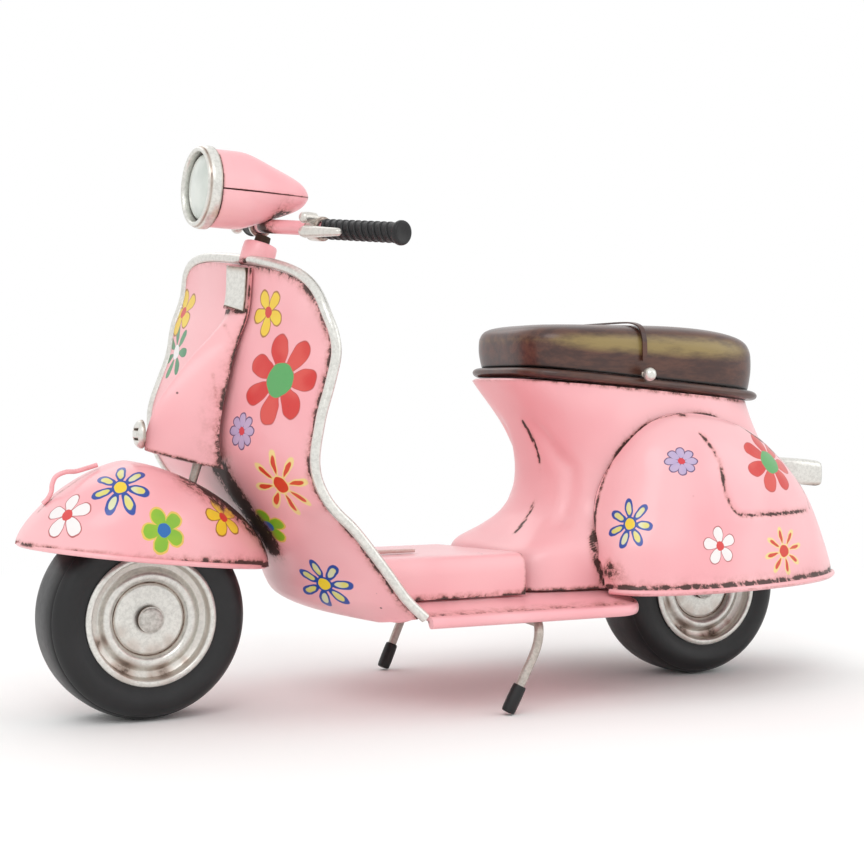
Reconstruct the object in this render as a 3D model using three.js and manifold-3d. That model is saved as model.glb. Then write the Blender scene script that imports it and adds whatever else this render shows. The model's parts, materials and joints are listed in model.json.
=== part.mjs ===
// A hand-made tin scooter with a clockwork motor, in millimetres.
// +Z is up, -X is forward, -Y is the rider's left. The origin is on the ground, under the middle of the box.
import * as THREE from 'three';
import { mergeVertices } from 'three/addons/utils/BufferGeometryUtils.js';
import Module from 'manifold-3d';

const wasm = await Module();
wasm.setup();

// ---------------------------------------------------------------- driving dimensions
// Heights count from the axles, and so does everything in the chassis group.
const fit = 0.35;                 // running or seating clearance between two pieces
const sheetMetal = 1;             // thickness of the tin
const wheelbase = 188.5;
const frontWheelX = -103.5;
const rake = THREE.MathUtils.degToRad(17.04);     // the steering axis leans back by this from upright

const tyre = { radius: 29.3, halfWidth: 12.3, bore: 17.4, shoulder: 6 };
const hubcap = { radius: 19.1, disc: 9.2, wall: 0.7, edge: 0.4 };
const axle = { radius: 1.8, nutRadius: 3.9, nutHeight: 2.6 };
const drum = { halfWidth: 7.6 };

const fender = {
  halfWidth: 26, ahead: 35.4, behind: 38.5, middle: -4, above: 15.6,
  rimAbove: 17.6, rimFall: 0.121, lip: 1.2,
};
const crest = { wire: 0.7 };
// The steering axis passes ahead of the legshield's line at its top. Below and above count from there.
const column = { radius: 2.4, thin: 1.6, underRidge: 2.18, shoulderBelow: 1.17, underBar: 0.9, ahead: 8.23 };
const forkArm = { radius: 2.2, out: 17.2, boss: 3.6, bossWidth: 4.4 };
const collar = { radius: 5.2, below: 0.37, above: 7.13 };

const shield = {
  halfWidth: 43.6, bottom: -3, sideLift: 3.2, top: 101.7, cornerLeft: 27, cornerRight: 13, cornerPower: 3.2,
  beading: 1.5, behindFender: 5, roll: 0.12,
};
const cover = { below: 2.7, noseAbove: 5.7, top: 101.7 };
const badge = { height: 13, halfWidth: 3.4, ridge: 1, sheet: 0.7 };
const horn = { radius: 4.2, height: 2.4 };

const board = {
  halfWidth: 49.5, inner: 31, height: 3.7, edge: 0.7, bead: 1.6, sheet: 1.4,
  front: 26.9, tail: 42.5, taper: 14,
};
const platform = { halfWidth: 33.5, top: 15.3, corner: 4, lean: 0.04 };
const runner = { width: 3, height: 1, y: 14, length: 34 };

const body = { halfWidth: 30, bottom: 4.3, top: 68.2, middle: -18 };       // along X from the rear axle
const cowl = {
  bulge: 15.5, ahead: 32, behind: 67, middle: -21.5, base: 4.3, height: 52.7, lip: 1.8,
  seam: 1,                        // in thicknesses of the tin
};
const seat = {
  halfWidth: 26.5, front: -72, rear: 16, rimFront: 70.9, rimRear: 63, rim: 1.5,
  crown: 85.9, fall: 4, corner: 0.5,
};
const strap = { from: -34, width: 1.6, thickness: 0.5 };
const knob = { radius: 2.1, stem: 0.9, above: 2.6, out: 3.6 };
const tail = { end: 53.6, halfWidth: 6, top: 42.9, bottom: 32.3 };

const bar = { height: 113.9, radius: 2.1, left: 56.6, right: 54.3, sweep: 18.5, turn: 3.5, tilt: 4.9 };
const grip = { from: 25.6, radius: 3.1, flange: 0.4 };
const lever = { at: 22.3, clamp: 2.6, length: 16.4, ahead: 7, lug: 2.9, radius: 1.9 };
const lamp = {
  radius: 12.2, ahead: 22.6, above: 10.4, length: 35.8, nose: 2.1, ringDepth: 4, ringWall: 2.2,
};

const stand = {
  radius: 1.4, behind: 81.5, height: -2.9, halfWidth: 46, footHalfWidth: 44.6, reach: 9.9,
  tip: 9, tipWall: 0.6, sole: 1.7, plateHalfWidth: 20, lugAt: 17.5,
};

const motor = { plate: 1, module: 1, arbor: 1.8, pillar: 1.3, fromTyre: 1.7, fromBody: 3.7 };
const teeth = { axle: 12, middleWheel: 24, middlePinion: 10, great: 30 };
const middleAngle = 149;          // the middle arbor's direction from the rear axle, in degrees
const greatAngle = 60;            // and the winding arbor's from the middle one
const spring = { strip: 0.7, turns: 3.25, inner: 2.8, outer: 13.2 };
const key = { stem: 2.8, wing: 3.6, length: 7, thickness: 1.8 };

// ---------------------------------------------------------------- paints and metals
function paint(color, roughness, metalness) {
  return new THREE.MeshStandardMaterial({ color, roughness, metalness });
}
const pink = paint(0xf2b0b4, 0.45, 0.1);
const silver = paint(0xc2c4c0, 0.38, 0.8);
const rubber = paint(0x1d1d20, 0.8, 0);
const brown = paint(0x4c3a2c, 0.5, 0.1);
const steel = paint(0x8d8f90, 0.4, 0.9);
const brass = paint(0xb08d4a, 0.35, 0.9);
const lensGlass = paint(0xd5dcd6, 0.2, 0);

// ---------------------------------------------------------------- geometry tools
const V = (x, y, z) => new THREE.Vector3(x, y, z);
const along = (a, b, t) => a + (b - a) * t;
const clamp = THREE.MathUtils.clamp;
const range = (count, make) => Array.from({ length: count }, (_, k) => make(k));

// Drops all but the places, merges the corners and turns the faces out.
function welded(geometry) {
  const bare = new THREE.BufferGeometry();
  bare.setAttribute('position', geometry.getAttribute('position').clone());
  if (geometry.index) bare.setIndex([...geometry.index.array]);
  const merged = mergeVertices(bare, 1e-4);
  const place = merged.getAttribute('position');
  const kept = [];
  let volume = 0;
  for (let i = 0; i < merged.index.count; i += 3) {
    const corners = [0, 1, 2].map((k) => merged.index.getX(i + k));
    if (new Set(corners).size < 3) continue;
    kept.push(...corners);
    const [p, q, r] = corners.map((corner) => V().fromBufferAttribute(place, corner));
    volume += p.dot(q.cross(r));
  }
  if (volume < 0) kept.reverse();
  merged.setIndex(kept);
  return merged;
}

function solid(geometry) {
  const shape = welded(geometry);
  return new wasm.Manifold(new wasm.Mesh({
    numProp: 3,
    vertProperties: new Float32Array(shape.getAttribute('position').array),
    triVerts: new Uint32Array(shape.index.array),
  }));
}

function fromSolid(result) {
  const mesh = result.getMesh();
  const geometry = new THREE.BufferGeometry();
  geometry.setAttribute('position', new THREE.BufferAttribute(mesh.vertProperties, 3));
  geometry.setIndex([...mesh.triVerts]);
  return geometry;
}

function cut(piece, ...tools) {
  return fromSolid(tools.reduce((left, tool) => left.subtract(solid(tool)), solid(piece)));
}

function join(piece, ...more) {
  return fromSolid(more.reduce((sum, other) => sum.add(solid(other)), solid(piece)));
}

function common(piece, other) {
  return fromSolid(solid(piece).intersect(solid(other)));
}

// A value that runs smoothly through [at, value] pairs.
function profile(pairs) {
  const last = pairs.length - 1;
  const slope = (k) => {
    const before = pairs[Math.max(k - 1, 0)];
    const after = pairs[Math.min(k + 1, last)];
    return (after[1] - before[1]) / (after[0] - before[0]);
  };
  return (at) => {
    const next = pairs.findIndex((pair) => pair[0] > at);
    const i = next < 0 ? last - 1 : Math.max(next - 1, 0);
    const span = pairs[i + 1][0] - pairs[i][0];
    const t = clamp((at - pairs[i][0]) / span, 0, 1);
    const values = (1 + 2 * t) * (1 - t) ** 2 * pairs[i][1] + t * t * (3 - 2 * t) * pairs[i + 1][1];
    return values + span * (t * (1 - t) ** 2 * slope(i) + t * t * (t - 1) * slope(i + 1));
  };
}

// A bent sheet: point(u, v) is one face, and the wall grows from it by depth, away from du x dv.
function sheet(point, columns, rows, depth, round = false) {
  const across = round ? columns : columns + 1;
  const spot = (k) => [k % across, Math.floor(k / across)];
  const outer = range(across * (rows + 1), (k) => point(spot(k)[0] / columns, spot(k)[1] / rows));
  const at = (i, j) => outer[j * across + (round ? (i + across) % across : clamp(i, 0, across - 1))];
  const inner = outer.map((p, k) => {
    const [i, j] = spot(k);
    const du = at(i + 1, j).clone().sub(at(i - 1, j));
    const dv = at(i, Math.min(j + 1, rows)).clone().sub(at(i, Math.max(j - 1, 0)));
    return p.clone().addScaledVector(du.cross(dv).normalize(), -depth);
  });
  const n = outer.length;
  const faces = [];
  const quad = (a, b, c, d) => faces.push(a, b, c, a, c, d);
  for (let j = 0; j < rows; j++) {
    for (let i = 0; i < columns; i++) {
      const [a, b] = [j * across + i, j * across + ((i + 1) % across)];
      quad(a, b, b + across, a + across);
      quad(n + b, n + a, n + a + across, n + b + across);
    }
  }
  const top = rows * across;
  for (let i = 0; i < columns; i++) {
    const [a, b] = [i, (i + 1) % across];
    quad(b, a, n + a, n + b);
    quad(top + a, top + b, n + top + b, n + top + a);
  }
  for (let j = 0; j < rows && !round; j++) {
    const [a, b] = [j * across, j * across + columns];
    quad(a, a + across, n + a + across, n + a);
    quad(b + across, b, n + b, n + b + across);
  }
  const geometry = new THREE.BufferGeometry().setFromPoints([...outer, ...inner]);
  geometry.setIndex(faces);
  return geometry;
}

// A closed solid through rings of equal count, from the lowest to the highest.
function loft(rings) {
  const count = rings[0].length;
  const points = rings.flat();
  const faces = [];
  for (let j = 0; j + 1 < rings.length; j++) {
    for (let i = 0; i < count; i++) {
      const [a, b] = [j * count + i, j * count + ((i + 1) % count)];
      faces.push(a, b, b + count, a, b + count, a + count);
    }
  }
  const lid = (start, upwards) => {
    const rim = points.slice(start, start + count);
    const middle = rim.reduce((sum, p) => sum.add(p), V(0, 0, 0)).divideScalar(count);
    const hub = points.push(middle) - 1;
    for (let i = 0; i < count; i++) {
      const [a, b] = [start + i, start + ((i + 1) % count)];
      faces.push(hub, upwards ? a : b, upwards ? b : a);
    }
  };
  lid(0, false);
  lid((rings.length - 1) * count, true);
  const geometry = new THREE.BufferGeometry().setFromPoints(points);
  geometry.setIndex(faces);
  return geometry;
}

const shapeOf = (pairs) => new THREE.Shape(pairs.map(([x, y]) => new THREE.Vector2(x, y)));
const extrude = (shape, depth) => new THREE.ExtrudeGeometry(shape, { steps: 1, depth, bevelEnabled: false });
const circle = (radius, sides, x = 0, y = 0) => range(sides, (k) => {
  const a = (2 * Math.PI * (k + 0.5)) / sides;
  return [x + radius * Math.cos(a), y + radius * Math.sin(a)];
});

// A rod of round section along a smooth path.
function rod(points, radius, sides, steps) {
  const extrudePath = new THREE.CatmullRomCurve3(points, false, 'centripetal');
  const section = shapeOf(circle(radius, sides));
  return new THREE.ExtrudeGeometry(section, { steps, extrudePath, bevelEnabled: false });
}

// A straight round bar from one point to another.
function pin(from, to, radius, sides = 12, radiusTo = radius) {
  const way = to.clone().sub(from);
  const geometry = new THREE.CylinderGeometry(radiusTo, radius, way.length(), sides);
  geometry.applyQuaternion(new THREE.Quaternion().setFromUnitVectors(V(0, 1, 0), way.normalize()));
  return geometry.translate(...from.clone().add(to).multiplyScalar(0.5));
}

// Turned about the Y axis: the profile's pairs are [radius, place along Y], and it closes on itself.
const turned = (pairs, segments) => new THREE.LatheGeometry(
  [...pairs, pairs[0]].map(([r, y]) => new THREE.Vector2(r, y)), segments);

const box = (x0, x1, y0, y1, z0, z1) => new THREE.BoxGeometry(x1 - x0, y1 - y0, z1 - z0)
  .translate((x0 + x1) / 2, (y0 + y1) / 2, (z0 + z1) / 2);

// Half of an oval's outline, from -1 to 1 along its length: 0 at the ends, 1 in the middle.
const swell = (t, power) => (1 - Math.min(Math.abs(t), 1) ** power) ** (1 / power);
const squared = (a, power) => Math.sign(a) * Math.abs(a) ** power;

const sides = [['left', -1], ['right', 1]];
const scooter = new THREE.Group();
const chassis = new THREE.Group();
chassis.position.z = tyre.radius;
scooter.add(chassis);

function add(group, name, geometry, material) {
  const mesh = new THREE.Mesh(welded(geometry), material);
  mesh.name = name;
  group.add(mesh);
}

// ---------------------------------------------------------------- steering axis
const rearWheelX = frontWheelX + wheelbase;
const shieldX = frontWheelX + fender.behind + shield.behindFender;
const trail = shieldX - column.ahead - shield.top * Math.tan(rake) - frontWheelX;
const steerUp = V(Math.sin(rake), 0, Math.cos(rake));
const steerAt = (distance) => V(frontWheelX + trail, 0, 0).addScaledVector(steerUp, distance);
const steerX = (z) => frontWheelX + trail + z * Math.tan(rake);
const columnTop = (bar.height - bar.radius - column.underBar) / Math.cos(rake);
const neck = shield.top / Math.cos(rake);
const shoulderAt = neck - column.shoulderBelow;

// ---------------------------------------------------------------- wheels
const axleEnd = hubcap.disc + 0.6;
const armOuter = forkArm.out + forkArm.radius;

function tyreGeometry() {
  const { radius, halfWidth, bore, shoulder } = tyre;
  const side = [
    [bore, halfWidth - 1.1], [bore + 3, halfWidth - 1], [radius - shoulder, halfWidth],
    [radius - 0.3 * shoulder, halfWidth - 0.3 * shoulder], [radius, halfWidth - 1.25 * shoulder],
  ];
  return turned([...side, ...side.map(([r, y]) => [r, -y]).reverse()], 24);
}

// A pressed disc: flat centre, raised ring, dip and rolled lip.
function hubcapGeometry(hole) {
  const { radius, disc, wall, edge } = hubcap;
  const lip = tyre.halfWidth + edge;
  return turned([
    [hole, disc], [radius - 8.5, disc], [radius - 7.6, disc + 0.6], [radius - 5, disc + 0.8],
    [radius - 3, disc], [radius - 2.2, lip], [radius - 0.9, lip], [radius, lip - wall],
    [radius - 1.8, lip - wall - edge],
    [radius - 2.7, disc - wall], [hole, disc - wall],
  ], 20);
}

function addWheel(x, end, axleTo, headRadius) {
  const wheel = new THREE.Group();
  wheel.position.x = x;
  chassis.add(wheel);
  const hole = axle.radius + fit;
  const { nutRadius, nutHeight } = axle;
  const mirrored = new THREE.Matrix4().makeScale(1, -1, 1);
  add(wheel, `${end}_tyre`, tyreGeometry(), rubber);
  const [out, bore] = [drum.halfWidth, tyre.bore - fit];
  add(wheel, `${end}_wheel_drum`, turned([[hole, -out], [bore, -out], [bore, out], [hole, out]], 20), steel);
  add(wheel, `${end}_hubcap_right`, hubcapGeometry(hole), silver);
  add(wheel, `${end}_hubcap_left`, hubcapGeometry(hole).applyMatrix4(mirrored), silver);
  const seatAt = -axleEnd - fit;
  add(wheel, `${end}_dome_nut`, turned([
    [0, seatAt - nutHeight], [0.55 * nutRadius, seatAt - nutHeight + 0.3], [nutRadius, seatAt - 0.9],
    [nutRadius, seatAt], [0, seatAt],
  ], 12), silver);
  add(wheel, `${end}_axle`, turned([
    [0, -axleEnd], [axle.radius, -axleEnd], [axle.radius, axleTo], [headRadius, axleTo],
    [headRadius, axleTo + 1.6], [0, axleTo + 1.6],
  ], 10), steel);
}

// ---------------------------------------------------------------- fender, its crest, column and fork arm
const fenderTop = tyre.radius + fender.above;
const rimZ = (dx) => fender.rimAbove - dx * fender.rimFall;
const fenderReach = (front) => (front ? fender.ahead + fender.middle : fender.behind - fender.middle);

// The ridge's height above the rim, at a place along the fender from -1 to 1.
const fenderRise = (t) => (fenderTop - rimZ(fender.middle)) * swell(t, t < 0 ? 1.35 : 1.75);

function fenderPoint(u, v) {
  const t = -Math.cos(along(0.13, Math.PI - 0.13, u));
  const dx = fender.middle + t * fenderReach(t < 0);
  const across = along(-Math.PI / 2, Math.PI / 2, v);
  const lip = v === 0 || v === 1 ? fender.lip : 0;
  const width = (fender.halfWidth - fender.lip) * swell(t, 2) + lip;
  const y = width * squared(Math.sin(across), 0.85);
  return V(frontWheelX + dx, y, rimZ(dx) + fenderRise(t) * Math.cos(across) ** 0.85);
}

function ridgePoint(dx, lift) {
  const t = (dx - fender.middle) / fenderReach(dx < fender.middle);
  return V(frontWheelX + dx, 0, rimZ(dx) + fenderRise(t) + lift);
}

// Where the steering axis is a little under the fender's ridge.
function columnFoot() {
  let distance = tyre.radius;
  for (let k = 0; k < 9; k++) {
    const here = steerAt(distance);
    distance += (ridgePoint(here.x - frontWheelX, -column.underRidge).z - here.z) / steerUp.z;
  }
  return steerAt(distance);
}

function addFork() {
  const shell = sheet(fenderPoint, 16, 12, sheetMetal);
  const foot = columnFoot();
  const shoulder = steerAt(shoulderAt);
  const hole = pin(foot, shoulder, column.thin + fit);
  add(chassis, 'front_fender', cut(shell, hole), pink);
  const wire = [[-28, 1.2], [-25.4, 1.6], [-25.3, 4.4], [-23.9, 5.5], [-18.7, 2.8], [-12.4, 1.2]];
  add(chassis, 'fender_crest', rod(wire.map(([dx, lift]) => ridgePoint(dx, lift)), crest.wire, 6, 16), pink);
  const stem = join(pin(foot, shoulder, column.thin), pin(shoulder, steerAt(columnTop), column.radius));
  add(chassis, 'steering_column', stem, steel);

  const { radius, out, boss, bossWidth } = forkArm;
  const startZ = foot.z - column.thin * Math.sin(rake) - fit - radius;
  const arm = rod([
    V(foot.x, -2, startZ), V(foot.x - 1, 7, startZ), V(foot.x - 4, out - 1.6, startZ - 4.5),
    V(along(foot.x, frontWheelX, 0.75), out, 0.5 * startZ), V(frontWheelX, out, -boss + 0.9),
  ], radius, 8, 14);
  const eye = pin(V(frontWheelX, 10, 0), V(frontWheelX, 30, 0), axle.radius + fit, 10);
  const eyeBoss = pin(V(frontWheelX, armOuter - bossWidth, 0), V(frontWheelX, armOuter, 0), boss);
  add(chassis, 'fork_arm', cut(join(arm, eyeBoss), eye), steel);
}
addWheel(frontWheelX, 'front', armOuter + fit, axle.nutRadius - 0.6);
addFork();

// ---------------------------------------------------------------- legshield, beading and steering head
// Bent by hand: the right half sits forward and a little high.
const shieldMiddle = profile([
  [-3, 24], [-1.8, 14], [0, 7.5], [3.2, 1.5], [6.7, -0.8], [11.9, -2], [20.6, -6.5], [27.7, -10.5],
  [34.2, -14.8], [41.9, -18.5], [49.2, -20], [56.4, -19.8], [68.1, -17.6], [79.7, -15.1], [88.7, -12.5],
  [101.7, -11.5],
]);
const shieldWrap = profile([
  [-3, 0], [-1.8, 8], [0, 16.5], [3.2, 19.1], [11.9, 14.5], [20.6, 11.2], [27.7, 7.8], [34.2, 4.2],
  [43.6, 2.6], [55.7, 2.7], [63.3, 3.4], [71.7, 4.4], [80.7, 4.2], [91.7, 2.8], [101.7, 2.8],
]);
const shieldSkew = profile([
  [-3, 0], [3.2, 0.4], [11.9, 1.5], [20.6, 3], [27.7, 5], [34.2, 7], [43.6, 8.5], [55.7, 9.5], [63.3, 8.9],
  [71.7, 8.4], [80.7, 8.5], [91.7, 6.4], [101.7, 7.2],
]);

// How far the outline has dropped below the top, at a place from -1 (left) to 1 (right).
const shieldCorner = (s) => (s < 0 ? shield.cornerLeft : shield.cornerRight);

function shieldPoint(side, z) {
  const s = side / shield.halfWidth;
  const x = shieldX + shieldMiddle(z) + shieldWrap(z) * Math.abs(s) ** 2.1 - shieldSkew(z) * s;
  return V(x, side, z + side * shield.roll * THREE.MathUtils.smoothstep(z, 10, 90));
}

// The beading runs up the left edge, over the top and down the right one, just outside the sheet.
function beadingPath() {
  const { halfWidth, top, cornerPower, bottom, sideLift, beading } = shield;
  const out = beading + fit + 0.2;
  const flank = (sign) => {
    const edge = sign * (halfWidth + out);
    const [foot, shoulder] = [bottom + sideLift + 0.5, top - shieldCorner(sign)];
    return range(9, (k) => shieldPoint(edge, along(foot, shoulder, k / 9)));
  };
  const arch = range(15, (k) => {
    const a = along(-Math.PI / 2, Math.PI / 2, k / 14);
    const corner = shieldCorner(a);
    const [s, c] = [squared(Math.sin(a), 2 / cornerPower), Math.abs(Math.cos(a)) ** (2 / cornerPower)];
    const bend = cornerPower - 1;
    const away = new THREE.Vector2(squared(s, bend) / halfWidth, c ** bend / corner).setLength(out);
    return shieldPoint(halfWidth * s + away.x, top - corner + corner * c + away.y);
  });
  return [...flank(-1), ...arch, ...flank(1).reverse()].map((p) => p.add(V(sheetMetal / 2, 0, 0)));
}

function addShield() {
  const { halfWidth, top, cornerPower, bottom, sideLift, beading } = shield;
  const plain = sheet((u, v) => {
    const s = Math.sin(along(-1.45, 1.45, u)) / Math.sin(1.45);
    const foot = bottom + sideLift * Math.abs(s) ** 3;
    const head = top - shieldCorner(s) * (1 - swell(s * 0.999, cornerPower));
    return shieldPoint(s * halfWidth, along(foot, head, v ** 1.25));
  }, 16, 16, -sheetMetal);
  const slot = pin(steerAt(40), steerAt(columnTop), column.thin + 2 * fit);
  const bore = pin(steerAt(neck - collar.below - fit), steerAt(columnTop), collar.radius + fit);
  const shoulderRoom = pin(steerAt(shoulderAt - fit), steerAt(columnTop), column.radius + fit);
  add(chassis, 'legshield', cut(plain, slot, bore, shoulderRoom), pink);
  add(chassis, 'legshield_beading', cut(rod(beadingPath(), beading, 6, 48), shoulderRoom), silver);
  const ring = pin(steerAt(neck - collar.below), steerAt(neck + collar.above), collar.radius);
  const beadingRoom = rod(beadingPath(), beading + fit + 0.1, 6, 48);
  add(chassis, 'steering_head', cut(ring, shoulderRoom, beadingRoom), pink);
}
addShield();

// ---------------------------------------------------------------- horn cover, badge and horn
const coverBottom = fenderTop - cover.below;
const noseReach = profile([
  [0, 21.2], [7, 21.2], [13, 20], [20, 18], [27, 14.2], [34, 9.6], [39, 5.7], [47, 1.5], [60, 1],
]);
const coverWidth = profile([[0, 5.8], [15, 5.8], [34, 5.6], [47, 6.4], [60, 6.6]]);

function coverPoint(u, v, lift = 0) {
  const s = along(-1, 1, u);
  const foot = coverBottom + cover.noseAbove * (1 - Math.abs(s) ** 1.3);
  const z = along(foot, cover.top, v);
  const width = coverWidth(z - coverBottom);
  const nose = noseReach(z - coverBottom);
  const slope = nose / width;
  const seated = fit + 0.2 + (0.9 * sheetMetal) / Math.hypot(1, slope);
  return shieldPoint(s * width, z).add(V(-nose * (1 - Math.abs(s) ** 1.35) - seated - lift, 0, 0));
}

function addHornCover() {
  const shell = sheet(coverPoint, 10, 12, -0.9 * sheetMetal);
  const columnRoom = pin(steerAt(35), steerAt(shoulderAt), column.thin + fit);
  add(chassis, 'horn_cover', cut(shell, columnRoom), pink);

  const noseFoot = coverBottom + cover.noseAbove;
  const onNose = (z) => coverPoint(0.5, (z - noseFoot) / (cover.top - noseFoot), 3 * fit);
  const narrow = badge.halfWidth / coverWidth(cover.top - coverBottom);
  const rows = badge.height / (cover.top - coverBottom);
  const badgePoint = (u, v) => {
    const lift = badge.ridge * (1 - Math.abs(2 * u - 1)) + badge.sheet + 1.5 * fit;
    return coverPoint(0.5 + (u - 0.5) * narrow, 1 - (1 - v) * rows, lift);
  };
  add(chassis, 'shield_badge', sheet(badgePoint, 4, 4, -badge.sheet), silver);

  const { radius, height } = horn;
  const face = onNose(noseFoot + radius + 0.3).add(V(-0.1, 0, 0));
  const crown = [[0, height], [0.5 * radius, 0.9 * height], [0.93 * radius, 0.4 * height]];
  const dome = turned([...crown, [radius, 0], [0, 0]], 14);
  add(chassis, 'horn', dome.rotateZ(Math.PI / 2).translate(face.x, 0, face.z), silver);
}
addHornCover();

// ---------------------------------------------------------------- running board
const boardFront = shieldX + board.front;

function addBoard() {
  const { halfWidth, inner, height, edge, bead, taper } = board;
  const half = [
    [inner, height], [halfWidth - bead, edge], [halfWidth, edge - 1], [halfWidth, edge - 2.4],
    [halfWidth - 1.2, edge - 2.8], [halfWidth - bead - 0.6, edge - 1.6], [inner, height - board.sheet],
  ];
  const end = rearWheelX - board.tail;
  const stock = extrude(shapeOf([...half, ...half.map(([y, z]) => [-y, z]).reverse()]), end - boardFront);
  stock.applyMatrix4(new THREE.Matrix4().makeBasis(V(0, 1, 0), V(0, 0, 1), V(1, 0, 0)));
  stock.translate(boardFront, 0, 0);
  const wide = halfWidth + 10;
  const tails = [[end - taper, wide], [end - taper, halfWidth], [end, halfWidth - 10], [end - 4, inner + 1]];
  const plan = extrude(shapeOf([
    [boardFront - 1, -wide], ...tails.map(([x, y]) => [x, -y]), ...tails.reverse(), [boardFront - 1, wide],
  ]), 40);
  add(chassis, 'running_board', common(stock, plan.translate(0, 0, -20)), pink);
}
addBoard();

// ---------------------------------------------------------------- body
// Heights count from the body's bottom edge here, and places along X from the rear axle.
const bodyNose = profile([
  [0, -79.5], [10.4, -77], [14.8, -71.2], [20.9, -64.4], [28.4, -60.6], [38.4, -60.4], [51.4, -65.1],
  [63.9, -74.4],
]);
const bodyTail = profile([
  [0, 50.5], [11.4, 46], [29.4, 38], [40.4, 29.5], [47.4, 22.8], [56.4, 18.2], [63.9, 15.6],
]);
const bodyWidth = profile([[0, 1], [16.4, 0.5], [41.4, -0.4], [54.4, -2.4], [63.9, -4]]);
const noseSquare = profile([[0, 7], [10.4, 6], [16.4, 3.5], [26.4, 2.5], [46.4, 2.5], [63.9, 3.6]]);
const tailSquare = 2.5;
const [bodyColumns, bodyRows] = [28, 9];
const rimHeight = (dx) => along(seat.rimFront, seat.rimRear, (dx - seat.front) / (seat.rear - seat.front));
const bodyTop = (dx) => rimHeight(dx) - seat.rim - 2 * fit;
const bodyFrontX = rearWheelX + bodyNose(0);

// The level in the profiles above of a height at a place along the body, whose top slopes.
const levelAt = (dx, z) => ((z - body.bottom) / (bodyTop(dx) - body.bottom)) * (body.top - body.bottom);
const bodyPower = (front, level) => (front ? noseSquare(level) : tailSquare);
const bodyReach = (front, level) => (front ? body.middle - bodyNose(level) : bodyTail(level) - body.middle);

function bodyPoint(u, v) {
  const level = v * (body.top - body.bottom);
  const a = 2 * Math.PI * u;
  const front = Math.cos(a) < 0;
  const power = 2 / bodyPower(front, level);
  const dx = body.middle + bodyReach(front, level) * squared(Math.cos(a), power);
  const y = (body.halfWidth + bodyWidth(level)) * squared(Math.sin(a), power);
  return V(rearWheelX + dx, y, along(body.bottom, bodyTop(dx), v));
}

function bodySide(dx, z) {
  const level = levelAt(dx, z);
  const front = dx < body.middle;
  const t = Math.min(Math.abs(dx - body.middle) / bodyReach(front, level), 0.99);
  return (body.halfWidth + bodyWidth(level)) * swell(t, bodyPower(front, level));
}

// ---------------------------------------------------------------- floor platform
// A hat-shaped pressing on the board, from the legshield to the body.
function addPlatform() {
  const { halfWidth, top, corner, lean } = platform;
  const foot = board.height + fit;
  const half = [
    [halfWidth, foot], [halfWidth, top - corner], [halfWidth - 0.3 * corner, top - 0.3 * corner],
    [halfWidth - corner, top], [halfWidth / 2, top], [0, top],
  ];
  const section = [...half, ...half.slice(0, -1).map(([y, z]) => [-y, z]).reverse()];
  const point = (u, v) => {
    const [y, z] = section[Math.round(u * (section.length - 1))];
    const rise = z > foot ? z - lean * y : z;
    return V(along(shieldPoint(y, z).x + 3.4, bodyFrontX - fit, v), y, rise);
  };
  add(chassis, 'floor_platform', sheet(point, section.length - 1, 3, sheetMetal), pink);
  for (const [name, sign] of sides) {
    const y = sign * runner.y;
    const from = shieldPoint(y, top).x + 5;
    const [near, far, foot0] = [y - runner.width / 2, y + runner.width / 2, top + fit];
    const strip = box(from, from + runner.length, near, far, foot0, foot0 + runner.height);
    const shear = new THREE.Matrix4().set(1, 0, 0, 0, 0, 1, 0, 0, 0, -lean, 1, 0, 0, 0, 0, 1);
    add(chassis, `runner_${name}`, strip.applyMatrix4(shear), silver);
  }
}
addPlatform();

// ---------------------------------------------------------------- cowls and tail light
function cowlPoint(u, v, sign) {
  const t = -Math.cos(along(0.14, Math.PI - 0.14, u));
  const dx = cowl.middle + (t < 0 ? t * cowl.ahead : t * cowl.behind);
  const height = cowl.height * swell(t, t < 0 ? 2.2 : 1.8);
  const bulge = cowl.bulge * swell(t, t < 0 ? 2.4 : 1.25);
  const z = cowl.base + height * Math.cos((v * Math.PI) / 2);
  const lip = v === 1 ? cowl.lip : 0;
  const inside = bodySide(dx, z) + fit + (1 + cowl.seam) * sheetMetal;
  const y = inside + bulge * Math.sin((v * Math.PI) / 2) + lip;
  return V(rearWheelX + dx, sign * y, z - 0.3 * lip);
}

// The winding arbor stands above the rear axle, two gears on.
function gearPlace(teethA, teethB, angle) {
  const distance = (motor.module * (teethA + teethB)) / 2 + 0.15;
  const direction = THREE.MathUtils.degToRad(angle);
  return new THREE.Vector2(distance * Math.cos(direction), distance * Math.sin(direction));
}
const axlePlace = new THREE.Vector2();
const middlePlace = gearPlace(teeth.axle, teeth.middleWheel, middleAngle);
const greatPlace = gearPlace(teeth.middlePinion, teeth.great, greatAngle).add(middlePlace);
const atPlace = (place, y) => V(rearWheelX + place.x, y, place.y);
const keyFrom = bodySide(greatPlace.x, greatPlace.y) + cowl.bulge + cowl.seam * sheetMetal + fit;

// The body's whole volume, grown sideways by a gap.
function bodyRoom(gap) {
  const grown = (p) => p.addScaledVector(V(p.x - rearWheelX - body.middle, p.y, 0).normalize(), gap);
  const ring = (j) => range(bodyColumns, (i) => grown(bodyPoint(i / bodyColumns, j / bodyRows)));
  return loft(range(bodyRows + 1, ring));
}

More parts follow.
